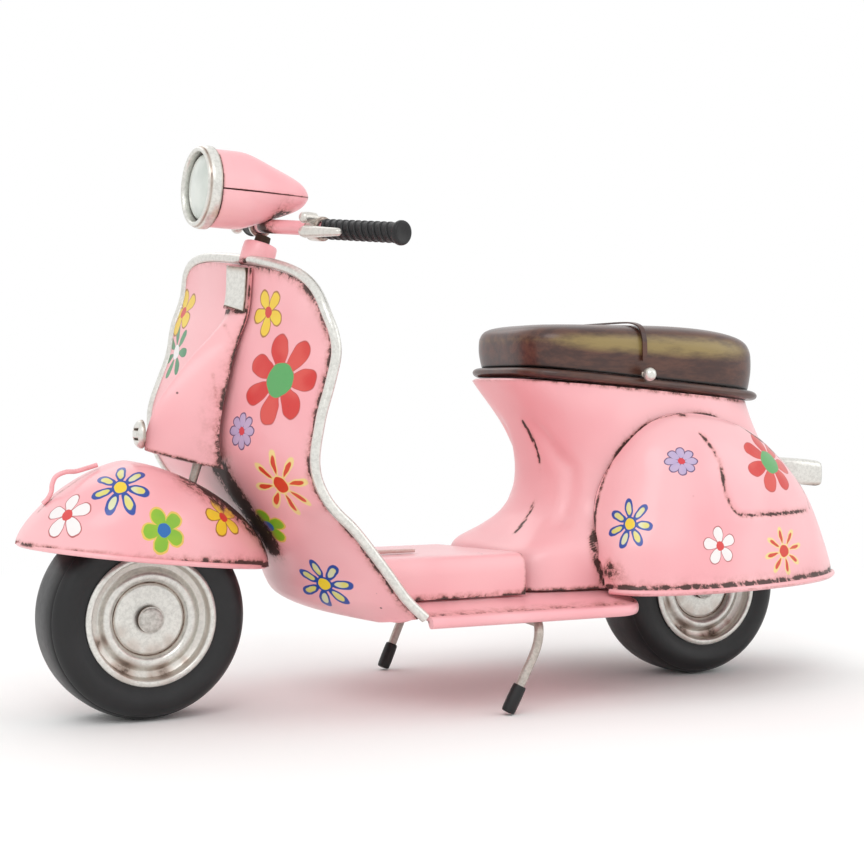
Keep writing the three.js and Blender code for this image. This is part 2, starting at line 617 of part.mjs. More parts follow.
function addBody() {
  const [inside, outside] = [atPlace(greatPlace, body.halfWidth - 10), atPlace(greatPlace, keyFrom + 10)];
  const keyHole = pin(inside, outside, motor.arbor + 1, 10);
  add(chassis, 'body_shell', cut(sheet(bodyPoint, bodyColumns, bodyRows, -sheetMetal, true), keyHole), pink);
  for (const [name, sign] of sides) {
    const dome = sheet((u, v) => cowlPoint(u, v, sign), 14, 7, -sign * sheetMetal);
    add(chassis, `cowl_${name}`, sign > 0 ? cut(dome, keyHole) : dome, pink);
  }
  const { end, halfWidth, top, bottom } = tail;
  const outline = shapeOf([[seat.rear, top], [seat.rear, bottom], [end - 2, bottom - 0.6], [end, top - 1.8]]);
  const block = extrude(outline, 2 * halfWidth).rotateX(Math.PI / 2).translate(rearWheelX, halfWidth, 0);
  add(chassis, 'tail_light', cut(block, bodyRoom(sheetMetal + 2 * fit)), silver);
}
addBody();

// ---------------------------------------------------------------- seat
function seatRing(inset, height) {
  const middle = (seat.front + seat.rear) / 2;
  const length = (seat.rear - seat.front) / 2 - inset;
  return range(24, (k) => {
    const a = (2 * Math.PI * k) / 24;
    const dx = middle + length * squared(Math.cos(a), seat.corner);
    return V(rearWheelX + dx, (seat.halfWidth - inset) * squared(Math.sin(a), seat.corner), height(dx));
  });
}

// A height between the seat's foot and its crown, which falls away to the rear.
function seatLevel(part) {
  const middle = (seat.front + seat.rear) / 2;
  return (dx) => {
    const behind = Math.max(0, (dx - middle) / (seat.rear - middle));
    return along(rimHeight(dx) + seat.rim + fit, seat.crown - seat.fall * behind ** 2.2, part);
  };
}

function addSeat() {
  const round = 0.4 - seat.rim;
  const rim = [[1.5, -seat.rim], [round, -0.8], [-seat.rim, 0], [round, 0.8], [1.5, seat.rim]];
  const base = loft(rim.map(([inset, dz]) => seatRing(inset, (dx) => rimHeight(dx) + dz)));
  const well = loft([-3, 3].map((dz) => seatRing(6, (dx) => rimHeight(dx) + dz)));
  add(chassis, 'seat_base', cut(base, well), brown);

  const outside = [[1, 0], [0.2, 0.35], [0.4, 0.72], [2.2, 0.9], [6.5, 0.985], [14, 1]];
  const inside = [[3, -0.4], [2.4, 0.6], [5, 0.85], [14, 0.93]];
  const hull = (steps) => loft(steps.map(([inset, part]) => seatRing(inset, seatLevel(part))));
  add(chassis, 'seat_cover', cut(hull(outside), hull(inside)), brown);

  const out = seat.halfWidth + 2 * fit;
  const half = [[out, 0.3], [out, 0.72], [out - 1.7, 0.9], [out - 6, 0.99], [out - 13, 1]];
  const line = [...half.map(([y, part]) => [-y, part]), ...half.reverse()];
  const band = sheet((u, v) => {
    const [y, part] = line[Math.round(u * (line.length - 1))];
    const top = part > 0.9 ? fit + strap.thickness : 0;
    return V(rearWheelX + strap.from + (v - 0.5) * strap.width, y, seatLevel(part)(strap.from) + top);
  }, line.length - 1, 1, strap.thickness);
  add(chassis, 'seat_strap', band, brown);

  for (const [name, sign] of sides) {
    const level = rimHeight(strap.from) + knob.above;
    const at = (y) => V(rearWheelX + strap.from, sign * (seat.halfWidth + y), level);
    const stem = pin(at(fit), at(knob.out), knob.stem, 6);
    const ball = new THREE.SphereGeometry(knob.radius, 8, 6).translate(...at(knob.out));
    add(chassis, `seat_knob_${name}`, join(ball, stem), silver);
  }
}
addSeat();

// ---------------------------------------------------------------- handlebar, grips and levers
const head = new THREE.Group();
head.position.set(steerX(bar.height), 0, bar.height);
head.quaternion.setFromAxisAngle(steerUp, THREE.MathUtils.degToRad(bar.turn))
  .multiply(new THREE.Quaternion().setFromAxisAngle(V(1, 0, 0), THREE.MathUtils.degToRad(bar.tilt)));
chassis.add(head);

// A place on the bar: out along it, ahead of it and above it.
const sweep = THREE.MathUtils.degToRad(bar.sweep);
const onBar = (sign, out, ahead = 0, above = 0) => V(
  out * Math.sin(sweep) - ahead * Math.cos(sweep),
  sign * (out * Math.cos(sweep) + ahead * Math.sin(sweep)),
  above,
);
const barPath = (left, right) => [
  onBar(-1, left), onBar(-1, left / 2), onBar(-1, 10), V(0, 0, 0),
  onBar(1, 10), onBar(1, right / 2), onBar(1, right),
];

function addBars() {
  add(head, 'handlebar', rod(barPath(bar.left - 2, bar.right - 2), bar.radius, 8, 18), pink);
  for (const [name, sign] of sides) {
    const end = sign < 0 ? bar.left : bar.right;
    const on = (out) => onBar(sign, out);
    const flange = pin(on(end - 2), on(end), grip.radius + grip.flange);
    const room = pin(on(grip.from - 5), on(end - 2 + fit), bar.radius + fit);
    add(head, `grip_${name}`, cut(join(pin(on(grip.from), on(end - 1), grip.radius), flange), room), rubber);

    const { at, clamp: half, ahead, lug, length, radius } = lever;
    const clampRing = pin(on(at - half), on(at + half), bar.radius + 1.5);
    const ear = pin(onBar(sign, at, 1, lug), onBar(sign, at, ahead, lug), 1.7, 8);
    const bore = pin(on(at - 10), on(at + 10), bar.radius + fit);
    add(head, `lever_bracket_${name}`, cut(join(clampRing, ear), bore), silver);
    const pivot = onBar(sign, at, ahead, lug - 1.7 - fit - radius);
    const blade = pin(pivot, onBar(sign, at + length, ahead, -0.6), radius, 8, 0.6 * radius);
    add(head, `lever_${name}`, blade, silver);
  }
}
addBars();

// ---------------------------------------------------------------- headlight
function addLamp() {
  const { radius, ahead, above, length, nose, ringDepth, ringWall } = lamp;
  const frame = new THREE.Group();        // its Y axis runs back through the lamp, from the ring's face
  frame.position.set(-ahead, 0, above);
  frame.rotation.set(0, THREE.MathUtils.degToRad(nose), -Math.PI / 2, 'YXZ');
  head.add(frame);
  frame.updateMatrix();

  const wall = 0.9 * sheetMetal;
  const [r, foot] = [radius - 0.8, ringDepth];
  const outer = [
    [r, foot], [r, 14], [r - 0.7, 17], [0.73 * radius, 20.2], [0.53 * radius, 25],
    [0.42 * radius, length - 5.5], [0.22 * radius, length - 1.6], [0, length],
  ];
  const inner = [
    [0, length - 2], [0.42 * radius - wall, length - 6], [0.53 * radius - wall, 24.6],
    [0.73 * radius - wall, 19.8], [r - wall - 0.3, 16.4], [r - wall, 13.6], [r - wall, foot],
  ];
  const shell = turned([...outer, ...inner], 20);
  const barRoom = rod(barPath(30, 30), bar.radius + fit, 8, 12).applyMatrix4(frame.matrix.clone().invert());
  const half = (z0, z1) => box(-2 * radius, 2 * radius, -10, 2 * length, z0, z1);
  add(frame, 'headlight_upper', cut(shell, half(-2 * radius, fit / 2), barRoom), pink);
  add(frame, 'headlight_lower', cut(shell, half(-fit / 2, 2 * radius), barRoom), pink);
  const [bore, back] = [radius - ringWall, ringDepth - fit];
  add(frame, 'headlight_ring', turned([
    [bore + 0.6, -0.6], [radius - 0.5, 0], [radius, 1.4], [radius, back], [bore, back], [bore, 0.6],
  ], 24), silver);
  const glass = bore - fit;
  const domed = [[0, 0.1], [glass - 3, 0.5], [glass, 1.8], [glass, 3], [0, 3]];
  add(frame, 'headlight_lens', turned(domed, 20), lensGlass);
}
addLamp();

// ---------------------------------------------------------------- centre stand
function addStand() {
  const { radius, height, halfWidth, footHalfWidth, reach, tip, tipWall, sole } = stand;
  const { plateHalfWidth, lugAt } = stand;
  const x = rearWheelX - stand.behind;
  const ground = -tyre.radius;
  const leg = (sign) => [
    V(x - reach, sign * footHalfWidth, ground + sole),
    V(x - 0.48 * reach, sign * (halfWidth - 0.4), along(ground, height, 0.47)),
    V(x - 0.16 * reach, sign * halfWidth, height - 7),
    V(x - 0.5, sign * (halfWidth - 0.5), height - 2),
    V(x, sign * (halfWidth - 4), height),
  ];
  const path = [...leg(-1), V(x, -12, height), V(x, 12, height), ...leg(1).reverse()];
  add(chassis, 'centre_stand', rod(path, radius, 8, 40), silver);
  for (const [name, sign] of sides) {
    const [foot, knee] = leg(sign);
    const way = knee.clone().sub(foot).normalize();
    const on = (distance) => foot.clone().addScaledVector(way, distance);
    const room = pin(on(-fit), on(tip + 5), radius + fit + 0.1, 10);
    const floor = box(x - 60, x + 60, -80, 80, ground - 20, ground);
    const sleeve = pin(on(-3), on(tip), radius + fit + tipWall, 10);
    add(chassis, `stand_tip_${name}`, cut(sleeve, room, floor), rubber);
  }
  const top = board.height - board.sheet - fit;
  const plate = box(x - 6, x + 6, -plateHalfWidth, plateHalfWidth, top - 1.2, top);
  const lugs = [-lugAt, lugAt].map((y) => box(x - 3.4, x + 3.4, y - 1.5, y + 1.5, height - 3.4, top - 0.6));
  const eye = pin(V(x, -30, height), V(x, 30, height), radius + fit);
  add(chassis, 'stand_bracket', cut(join(plate, ...lugs), eye), steel);
}
addStand();

// ---------------------------------------------------------------- clockwork
const motorInner = tyre.halfWidth + motor.fromTyre;
const motorOuter = body.halfWidth - motor.fromBody;
const motorRoom = motorOuter - motorInner - 2 * motor.plate - 4 * fit;
const gearWidth = 0.27 * motorRoom;
const springWidth = motorRoom - 2 * gearWidth;

// Turns a flat shape's depth to run from y towards the wheel, and sets it beside the rear wheel.
const inMotor = (geometry, place, y) => geometry
  .applyMatrix4(new THREE.Matrix4().makeBasis(V(1, 0, 0), V(0, 0, 1), V(0, -1, 0)))
  .translate(rearWheelX + place.x, y, place.y);

function gearGeometry(count, phase) {
  const pitch = (motor.module * count) / 2;
  const [root, tip] = [pitch - 1.2 * motor.module, pitch + 0.85 * motor.module];
  const step = (2 * Math.PI) / count;
  const tooth = [[root, -0.31], [tip, -0.1], [tip, 0.1], [root, 0.31]];
  const corners = range(count, (k) => tooth.map(([radius, part]) => {
    const a = phase + (k + part) * step;
    return [radius * Math.cos(a), radius * Math.sin(a)];
  })).flat();
  const shape = shapeOf(corners);
  shape.holes.push(shapeOf(circle(motor.arbor + 0.3, 10)));
  return extrude(shape, gearWidth);
}

function addGears() {
  const firstPlane = motorInner + motor.plate + fit + gearWidth;
  const secondPlane = firstPlane + fit + gearWidth;
  const toMiddle = THREE.MathUtils.degToRad(middleAngle);
  const toGreat = THREE.MathUtils.degToRad(greatAngle);
  // A wheel that meets a pinion has a gap where the pinion has a tooth.
  const facing = (angle, count) => angle + Math.PI + Math.PI / count;
  const gears = [
    ['axle_pinion', teeth.axle, toMiddle, axlePlace, firstPlane, brass],
    ['middle_wheel', teeth.middleWheel, facing(toMiddle, teeth.middleWheel), middlePlace, firstPlane, brass],
    ['middle_pinion', teeth.middlePinion, toGreat, middlePlace, secondPlane, steel],
    ['great_wheel', teeth.great, facing(toGreat, teeth.great), greatPlace, secondPlane, brass],
  ];
  for (const [name, count, phase, place, y, material] of gears) {
    add(chassis, name, inMotor(gearGeometry(count, phase), place, y), material);
  }
  const arbor = (place, to) => pin(atPlace(place, motorInner - 0.4), atPlace(place, to), motor.arbor, 10);
  add(chassis, 'middle_arbor', arbor(middlePlace, motorOuter + 0.4), steel);
  add(chassis, 'winding_arbor', arbor(greatPlace, keyFrom + 0.5 * key.length), steel);

  const count = Math.round(spring.turns * 14);
  const spiral = (shift) => range(count + 1, (k) => {
    const a = (2 * Math.PI * spring.turns * k) / count;
    const radius = along(spring.inner, spring.outer - spring.strip, k / count) + shift;
    return [radius * Math.cos(a), radius * Math.sin(a)];
  });
  const coil = extrude(shapeOf([...spiral(spring.strip), ...spiral(0).reverse()]), springWidth);
  add(chassis, 'mainspring', inMotor(coil, greatPlace, secondPlane + fit + springWidth), steel);
}

function addPlates() {
  const outline = [[-22, -6], [7, -6.5], [9.5, 12], [5, 45.5], [-3, 46.5], [-27, 31], [-30, 10]];
  const drilled = () => {
    const shape = shapeOf(outline);
    const bearings = [axlePlace, middlePlace, greatPlace];
    shape.holes.push(...bearings.map(({ x, y }) => shapeOf(circle(motor.arbor + fit, 10, x, y))));
    return extrude(shape, motor.plate);
  };
  add(chassis, 'motor_plate_inner', inMotor(drilled(), axlePlace, motorInner + motor.plate), brass);
  const [foot, head] = [motorInner + motor.plate + fit, motorOuter - motor.plate / 2];
  const corners = [[6.5, 12.5], [-25, 27], [2.5, 43.6]].map(([x, y]) => ({ x, y }));
  const pillars = corners.map((place) => pin(atPlace(place, foot), atPlace(place, head), motor.pillar, 8));
  add(chassis, 'motor_plate_outer', join(inMotor(drilled(), axlePlace, motorOuter), ...pillars), brass);
}

function addKey() {
  const { stem, wing, length, thickness } = key;
  const eye = [wing + 0.6, 0];
  const bow = shapeOf(circle(wing, 14, ...eye));
  bow.holes.push(shapeOf(circle(0.5 * wing, 10, ...eye)));
  const flat = extrude(bow, thickness).translate(0, 0, -thickness / 2);
  const wings = [flat, flat.clone().rotateY(Math.PI)];
  const bridge = box(-wing, wing, -2, 2, -thickness / 2, thickness / 2);
  const bowPiece = join(bridge, ...wings).translate(...atPlace(greatPlace, keyFrom + length - wing));
  const barrel = pin(atPlace(greatPlace, keyFrom), atPlace(greatPlace, keyFrom + length - wing), stem, 10);
  const blind = atPlace(greatPlace, keyFrom + 0.5 * length + fit);
  const bore = pin(atPlace(greatPlace, keyFrom - 5), blind, motor.arbor + 0.3, 10);
  add(chassis, 'winding_key', cut(join(barrel, bowPiece), bore), brass);
}
addWheel(rearWheelX, 'rear', motorOuter + 0.5, axle.radius + 0.01);
addPlates();
addGears();
addKey();

export default scooter;
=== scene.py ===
import json
import math
import bmesh
import bpy
from mathutils import Matrix, Vector
from mathutils.bvhtree import BVHTree
import numpy as np

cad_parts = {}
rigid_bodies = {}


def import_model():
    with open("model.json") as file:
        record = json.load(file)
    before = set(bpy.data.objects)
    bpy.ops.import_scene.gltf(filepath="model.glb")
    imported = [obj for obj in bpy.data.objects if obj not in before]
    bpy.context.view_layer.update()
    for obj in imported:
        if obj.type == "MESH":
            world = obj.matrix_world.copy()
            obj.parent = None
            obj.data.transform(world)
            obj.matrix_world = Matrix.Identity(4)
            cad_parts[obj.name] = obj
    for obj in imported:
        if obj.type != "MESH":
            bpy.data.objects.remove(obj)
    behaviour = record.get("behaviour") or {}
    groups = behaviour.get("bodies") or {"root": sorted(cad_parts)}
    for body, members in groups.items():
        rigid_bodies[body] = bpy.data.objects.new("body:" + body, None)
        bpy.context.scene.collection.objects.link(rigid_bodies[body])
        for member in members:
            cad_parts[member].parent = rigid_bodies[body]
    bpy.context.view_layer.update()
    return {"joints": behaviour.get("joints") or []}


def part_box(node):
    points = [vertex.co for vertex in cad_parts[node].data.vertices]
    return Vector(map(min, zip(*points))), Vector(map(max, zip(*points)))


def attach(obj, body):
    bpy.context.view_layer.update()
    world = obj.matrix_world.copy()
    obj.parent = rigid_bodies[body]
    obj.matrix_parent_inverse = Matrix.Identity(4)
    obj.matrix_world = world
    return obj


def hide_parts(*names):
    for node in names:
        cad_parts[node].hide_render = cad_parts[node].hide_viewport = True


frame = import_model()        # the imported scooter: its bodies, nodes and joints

mm = 0.001               # sizes below are in millimetres, the meshes in metres
clearance = 0.35         # between two pressings


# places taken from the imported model
def boxOf(node):
    low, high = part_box(node)
    return np.array(low) / mm, np.array(high) / mm


joints = {joint["name"]: joint for joint in frame["joints"]}
frontHub, rearHub = [sum(boxOf(end + "_tyre")) / 2 for end in ("front", "rear")]
frontX, rearX, axleZ = frontHub[0], rearHub[0], frontHub[2]
steerUp = np.array(joints["steering"]["axis"])
steerFoot = np.array(joints["steering"]["pos_m"]) / mm
bothSides = (("left", -1), ("right", 1))


# shapes
def unit(v):
    return v / np.maximum(np.linalg.norm(v, axis=-1, keepdims=True), 1e-9)


def stack(x, y, z):
    return np.stack(np.broadcast_arrays(x, y, z), -1).astype(float)


def between(a, b, t):
    return a + (b - a) * t


def swell(t, power):
    return (1 - np.minimum(np.abs(t), 1) ** power) ** (1 / power)


def squared(a, power):
    return np.sign(a) * np.abs(a) ** power


def clamped(x):
    return np.clip(x, 0, 1)


def fullTurn(count):
    return np.linspace(0, 2 * math.pi, count, endpoint=False)


# A value that runs smoothly through [place, value] pairs.
def smoothRun(pairs):
    at, value = np.array(pairs, float).T
    before, after = np.r_[0, 0:len(at) - 1], np.r_[1:len(at), len(at) - 1]
    slope = (value[after] - value[before]) / (at[after] - at[before])

    def run(x):
        x = np.asarray(x, float)
        i = np.clip(np.searchsorted(at, x, side="right") - 1, 0, len(at) - 2)
        span = at[i + 1] - at[i]
        t = clamped((x - at[i]) / span)
        level = (1 + 2 * t) * (1 - t) ** 2 * value[i] + t * t * (3 - 2 * t) * value[i + 1]
        return level + span * (t * (1 - t) ** 2 * slope[i] + t * t * (t - 1) * slope[i + 1])
    return run


# Points set evenly along a line. A closed line's last point is its first again and is left out.
def evenly(line, count, closed=False):
    run = np.r_[0, np.cumsum(np.linalg.norm(np.diff(line, axis=0), axis=1))]
    even = np.linspace(0, run[-1], count + 1 if closed else count)
    spread = np.stack([np.interp(even, run, side) for side in line.T], -1)
    return spread[:-1] if closed else spread


# Points spread evenly along a smooth line through the given ones.
def smoothLine(points, count=80):
    p = np.array(points, float)
    steps = np.linalg.norm(np.diff(p, axis=0), axis=1) ** 0.5
    at = np.r_[0, np.cumsum(steps)]
    fine = np.linspace(0, at[-1], 12 * count)
    return evenly(np.stack([smoothRun(list(zip(at, side)))(fine) for side in p.T], -1), count)


# Cuts the corners of a section, so that pressed edges are round.
def rounded(pairs, times=2, closed=False):
    p = np.array(pairs, float)
    for _ in range(times):
        q = np.vstack([p, p[:1]]) if closed else p
        near, far = between(q[:-1], q[1:], 0.25), between(q[:-1], q[1:], 0.75)
        cut = np.stack([near, far], 1).reshape(-1, p.shape[1])
        p = cut if closed else np.vstack([p[:1], cut[1:-1], p[-1:]])
    return p


# How far each point is from a line of places.
def distanceTo(points, line, batch=2000):
    flat = points.reshape(-1, 3)
    a, way = line[:-1], np.diff(line, axis=0)
    size = np.maximum((way ** 2).sum(1), 1e-9)
    nearest = np.empty(len(flat))
    for start in range(0, len(flat), batch):
        part = flat[start:start + batch, None, :] - a[None]
        t = clamped((part * way).sum(-1) / size)
        gap = part - t[..., None] * way
        nearest[start:start + batch] = np.sqrt((gap ** 2).sum(-1).min(1))
    return nearest.reshape(points.shape[:-1])


def bell(distance, width):
    return np.exp(-(distance / width) ** 2)


# The largest of several bells: rows of distance, width and strength.
def marks(*rows):
    levels = [strength * bell(gap, width) for gap, width, strength in rows]
    return np.maximum.reduce(np.broadcast_arrays(*levels))


def facingOf(grid, ring=False):
    across = np.roll(grid, -1, 1) - np.roll(grid, 1, 1) if ring else np.gradient(grid, axis=1)
    return unit(np.cross(across, np.gradient(grid, axis=0)))


# meshes
def shown(name, mesh):
    piece = bpy.data.objects.new(name, mesh)
    bpy.context.scene.collection.objects.link(piece)
    return piece


# Gives a mesh its painted values, each one number or one for each point.
def paintOn(mesh, **layers):
    for label, values in layers.items():
        spots = mesh.attributes.get(label) or mesh.attributes.new(label, "FLOAT", "POINT")
        spots.data.foreach_set("value", np.broadcast_to(values, len(mesh.vertices)).astype(np.float32))


# A mesh whose doubles are merged, with its faces turned out.
def tidied(piece, gap=0.004):
    work = bmesh.new()
    work.from_mesh(piece.data)
    bmesh.ops.remove_doubles(work, verts=work.verts, dist=gap * mm)
    bmesh.ops.dissolve_degenerate(work, edges=work.edges, dist=gap * mm)
    bmesh.ops.recalc_face_normals(work, faces=work.faces)
    if work.calc_volume(signed=True) < 0:
        bmesh.ops.reverse_faces(work, faces=work.faces)
    work.to_mesh(piece.data)
    work.free()
    return piece


def closedMesh(name, points, faces, grime, paint, sharp, gap=0.004):
    mesh = bpy.data.meshes.new(name)
    mesh.from_pydata((points * mm).tolist(), [], faces)
    mesh.validate()
    paintOn(mesh, grime=grime, paint=paint)
    mesh.shade_smooth()
    mesh.set_sharp_from_angle(angle=math.radians(sharp))
    return tidied(shown(name, mesh), gap)


def quadsOf(near, far):
    return np.stack([near[:-1], far[:-1], far[1:], near[1:]], -1).reshape(-1, 4)


# A bent wall: the grid is its outer face. side is -1 where the grid's own normals point inwards.
def shell(name, outer, wall, side=1, ring=False, grime=0.0, inside=0.25, sharp=38):
    rows, columns = outer.shape[:2]
    inner = outer - side * facingOf(outer, ring) * wall
    count = rows * columns
    index = np.arange(count).reshape(rows, columns)
    here, there = (index, np.roll(index, -1, 1)) if ring else (index[:, :-1], index[:, 1:])
    edges = [(there[0], here[0]), (here[-1], there[-1])]
    if not ring:
        edges += [(index[:-1, 0], index[1:, 0]), (index[1:, -1], index[:-1, -1])]
    rims = [np.stack([a, b, b + count, a + count], -1) for a, b in edges]
    quads = quadsOf(here, there)
    faces = np.vstack([quads, quads[:, ::-1] + count, *rims]).tolist()
    points = np.vstack([outer.reshape(-1, 3), inner.reshape(-1, 3)])
    stainAndShade = np.broadcast_to(grime, (rows, columns)).ravel()
    return closedMesh(name, points, faces, np.r_[stainAndShade, np.full(count, inside)],
                      np.r_[np.ones(count), np.zeros(count)], sharp, 0.0005)


# A closed skin through rings of points. ends is "point" where each end is drawn together, "flat" where
# it is one face, or "loop" where the last ring joins the first.
def skin(name, rings, grime=0.0, sharp=38, ends="point", paint=1.0):
    rings = np.asarray(rings, float)
    stainAndShade = np.broadcast_to(grime, rings.shape[:2])
    if ends == "loop":
        rings, stainAndShade = np.concatenate([rings, rings[:1]]), np.concatenate([stainAndShade, stainAndShade[:1]])
    index = np.arange(stainAndShade.size).reshape(stainAndShade.shape)
    first, last = index[0].tolist(), index[-1].tolist()
    points, values, lids = rings.reshape(-1, 3), stainAndShade.ravel(), []
    if ends == "flat":
        lids = [first[::-1], last]
    elif ends == "point":
        tip = len(points)
        points = np.vstack([points, rings[0].mean(0), rings[-1].mean(0)])
        values = np.r_[values, stainAndShade[0].mean(), stainAndShade[-1].mean()]
        lids = [[a, tip, b] for a, b in zip(first, first[1:] + first[:1])]
        lids += [[a, b, tip + 1] for a, b in zip(last, last[1:] + last[:1])]
    faces = quadsOf(index, np.roll(index, -1, 1)).tolist() + lids
    return closedMesh(name, points, faces, values, paint, sharp)


# A turned piece whose axis runs from a place in a direction; pairs are [radius, distance].
def turned(name, pairs, base, way=None, segments=48, grime=None, sharp=38, ends="point"):
    pairs = np.asarray(pairs, float)
    angle = fullTurn(segments)
    rings = stack(pairs[:, :1] * np.cos(angle), pairs[:, 1:2] + 0 * angle, pairs[:, :1] * np.sin(angle))
    if way is not None:
        way = unit(np.asarray(way, float))
        side = unit(np.cross(way, (0.3, 0.2, 0.93) if abs(way[2]) < 0.8 else (0.9, 0.2, 0.1)))
        rings = rings @ np.stack([side, way, np.cross(side, way)])
    stainAndShade = 0.0 if grime is None else np.array([[float(grime(r, y))] for r, y in pairs])
    return skin(name, rings + np.asarray(base, float), stainAndShade, sharp, ends)


# A round or flattened bar through a line of places, with a radius at each.
def skinAlong(name, line, size, flat=1.0, sides=32, grime=0.25):
    line, size = np.asarray(line), np.asarray(size, float)[:, None]
    way = unit(np.gradient(line, axis=0))
    side = unit(np.cross(way, (0, 0, 1.0)))
    up = np.cross(side, way)
    angle = fullTurn(sides)[None, :, None]
    section = side[:, None] * np.cos(angle) + flat * up[:, None] * np.sin(angle)
    rings = line[:, None] + size[..., None] * section
    return skin(name, rings, grime, 50)


def joined(name, *pieces):
    main = pieces[0]
    with bpy.context.temp_override(active_object=main, selected_editable_objects=list(pieces)):
        bpy.ops.object.join()
    main.name = main.data.name = name
    return main


# Adds dirt around places on a finished piece, and painted shade on the hubcaps: rows of place, width and
# strength.
def soilAndShade(piece, *rows):
    count = len(piece.data.vertices)
    places, values = np.empty(count * 3, np.float32), np.empty(count, np.float32)
    piece.data.vertices.foreach_get("co", places)
    piece.data.attributes["grime"].data.foreach_get("value", values)
    places = places.reshape(-1, 3) / mm
    gaps = [(np.linalg.norm(places - np.asarray(place, float), axis=1), *rest) for place, *rest in rows]
    paintOn(piece.data, grime=np.maximum(values, marks(*gaps)))
    return piece


def dress(piece, material):
    piece.data.materials.clear()
    piece.data.materials.append(material)
    return piece


# Puts a finished piece on its body.
def fit(piece, body, material, replaced):
    dress(piece, material)
    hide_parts(replaced)
    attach(piece, body)


# What a modifier makes of an object, as a plain mesh.
def baked(source):
    bpy.context.view_layer.update()
    mesh = bpy.data.meshes.new_from_object(source.evaluated_get(bpy.context.evaluated_depsgraph_get()))
    source.modifiers.clear()
    return mesh


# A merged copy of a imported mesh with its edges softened.
def softened(node, name, width, angle=25):
    source = bpy.data.objects[node]
    piece = shown(name, source.data.copy())
    piece.matrix_world = source.matrix_world
    piece.data.materials.clear()
    tidied(piece, 0.01)
    bevel = piece.modifiers.new("soften", "BEVEL")
    bevel.width, bevel.segments, bevel.limit_method = width * mm, 3, "ANGLE"
    bevel.angle_limit = math.radians(angle)
    piece.data = baked(piece)
    piece.data.name = name
    piece.data.transform(piece.matrix_world)
    piece.matrix_world = Matrix.Identity(4)
    paintOn(piece.data, grime=0.35, paint=1.0)
    piece.data.shade_smooth()
    piece.data.set_sharp_from_angle(angle=math.radians(40))
    return piece


# node trees
def link(node, inputs):
    for key, value in inputs.items():
        value = value.outputs[0] if isinstance(value, bpy.types.Node) else getattr(value, "output", value)
        if isinstance(value, bpy.types.NodeSocket):
            node.id_data.links.new(value, node.inputs[key])
        else:
            node.inputs[key].default_value = value
    return node


# Adds a node to a tree, or to the tree that a value belongs to. A node given as an input is its first output.
def put(owner, kind, inputs=None, **settings):
    tree = getattr(owner, "output", owner).id_data
    node = tree.nodes.new(kind)
    for key, value in settings.items():
        setattr(node, key, value)
    return link(node, inputs or {})


def addSockets(tree, side, sockets):
    for label, kind in sockets:
        tree.interface.new_socket(label, in_out=side, socket_type="NodeSocket" + kind)


def newTree(name, inputs):
    tree = bpy.data.node_groups.new(name, "GeometryNodeTree")
    addSockets(tree, "INPUT", [("Geometry", "Geometry")] + inputs + [("Material", "Material")])
    addSockets(tree, "OUTPUT", [("Geometry", "Geometry")])
    return tree, put(tree, "NodeGroupInput").outputs


def endTree(tree, geometry, material):
    solid = put(tree, "GeometryNodeRealizeInstances", {"Geometry": geometry})
    smoothed = put(tree, "GeometryNodeSetShadeSmooth", {"Geometry": solid})
    dressed = put(tree, "GeometryNodeSetMaterial", {"Geometry": smoothed, "Material": material})
    put(tree, "NodeGroupOutput", {"Geometry": dressed})
    return tree


# A round wire along a path, with a thickness at each point of it.
def wireTree():
    tree, given = newTree("wireAlongPath", [("Radius", "Float"), ("Sides", "Int")])
    line = put(tree, "GeometryNodeMeshToCurve", {"Mesh": given["Geometry"]})
    thick = put(tree, "GeometryNodeInputNamedAttribute", {"Name": "thickness"}, data_type="FLOAT")
    size = put(tree, "ShaderNodeMath", {0: thick, 1: given["Radius"]}, operation="MULTIPLY")
    section = put(tree, "GeometryNodeCurvePrimitiveCircle", {"Resolution": given["Sides"], "Radius": 1.0})
    body = put(tree, "GeometryNodeCurveToMesh", {
        "Curve": line, "Profile Curve": section, "Scale": size, "Fill Caps": True})
    return endTree(tree, body, given["Material"])


# Rings set along a path and leaned over, like the ribs of a grip.
def ribTree():
    tree, given = newTree("ribsAlongPath", [
        ("Ribs", "Int"), ("Ring", "Float"), ("Rib", "Float"), ("Lean", "Rotation")])
    line = put(tree, "GeometryNodeMeshToCurve", {"Mesh": given["Geometry"]})
    spots = put(tree, "GeometryNodeCurveToPoints", {"Curve": line, "Count": given["Ribs"]})
    big = put(tree, "GeometryNodeCurvePrimitiveCircle", {"Resolution": 40, "Radius": given["Ring"]})
    small = put(tree, "GeometryNodeCurvePrimitiveCircle", {"Resolution": 8, "Radius": given["Rib"]})
    ring = put(tree, "GeometryNodeCurveToMesh", {"Curve": big, "Profile Curve": small})
    lean = put(tree, "FunctionNodeRotateRotation", {
        "Rotation": spots.outputs["Rotation"], "Rotate By": given["Lean"]}, rotation_space="LOCAL")
    ribs = put(tree, "GeometryNodeInstanceOnPoints", {"Points": spots, "Instance": ring, "Rotation": lean})
    return endTree(tree, ribs, given["Material"])


wireNodes, ribNodes = wireTree(), ribTree()


# Runs a tree on a path and keeps the plain mesh that comes out.
def grown(name, path, tree, inputs, closed=False, thickness=1.0, grime=0.0):
    mesh = bpy.data.meshes.new(name + "_path")
    count = len(path)
    edges = [(k, k + 1) for k in range(count - 1)] + [(count - 1, 0)] * closed
    mesh.from_pydata((np.asarray(path) * mm).tolist(), edges, [])
    paintOn(mesh, thickness=thickness)
    source = shown(name + "_path", mesh)
    modifier = source.modifiers.new("grow", "NODES")
    modifier.node_group = tree
    for item in tree.interface.items_tree:
        if item.in_out == "INPUT" and item.name in inputs:
            modifier[item.identifier] = inputs[item.name]
    made = baked(source)
    bpy.data.objects.remove(source)
    made.name = name
    if "thickness" in made.attributes:
        made.attributes.remove(made.attributes["thickness"])
    paintOn(made, grime=grime, paint=1.0)
    made.set_sharp_from_angle(angle=math.radians(50))
    return shown(name, made)


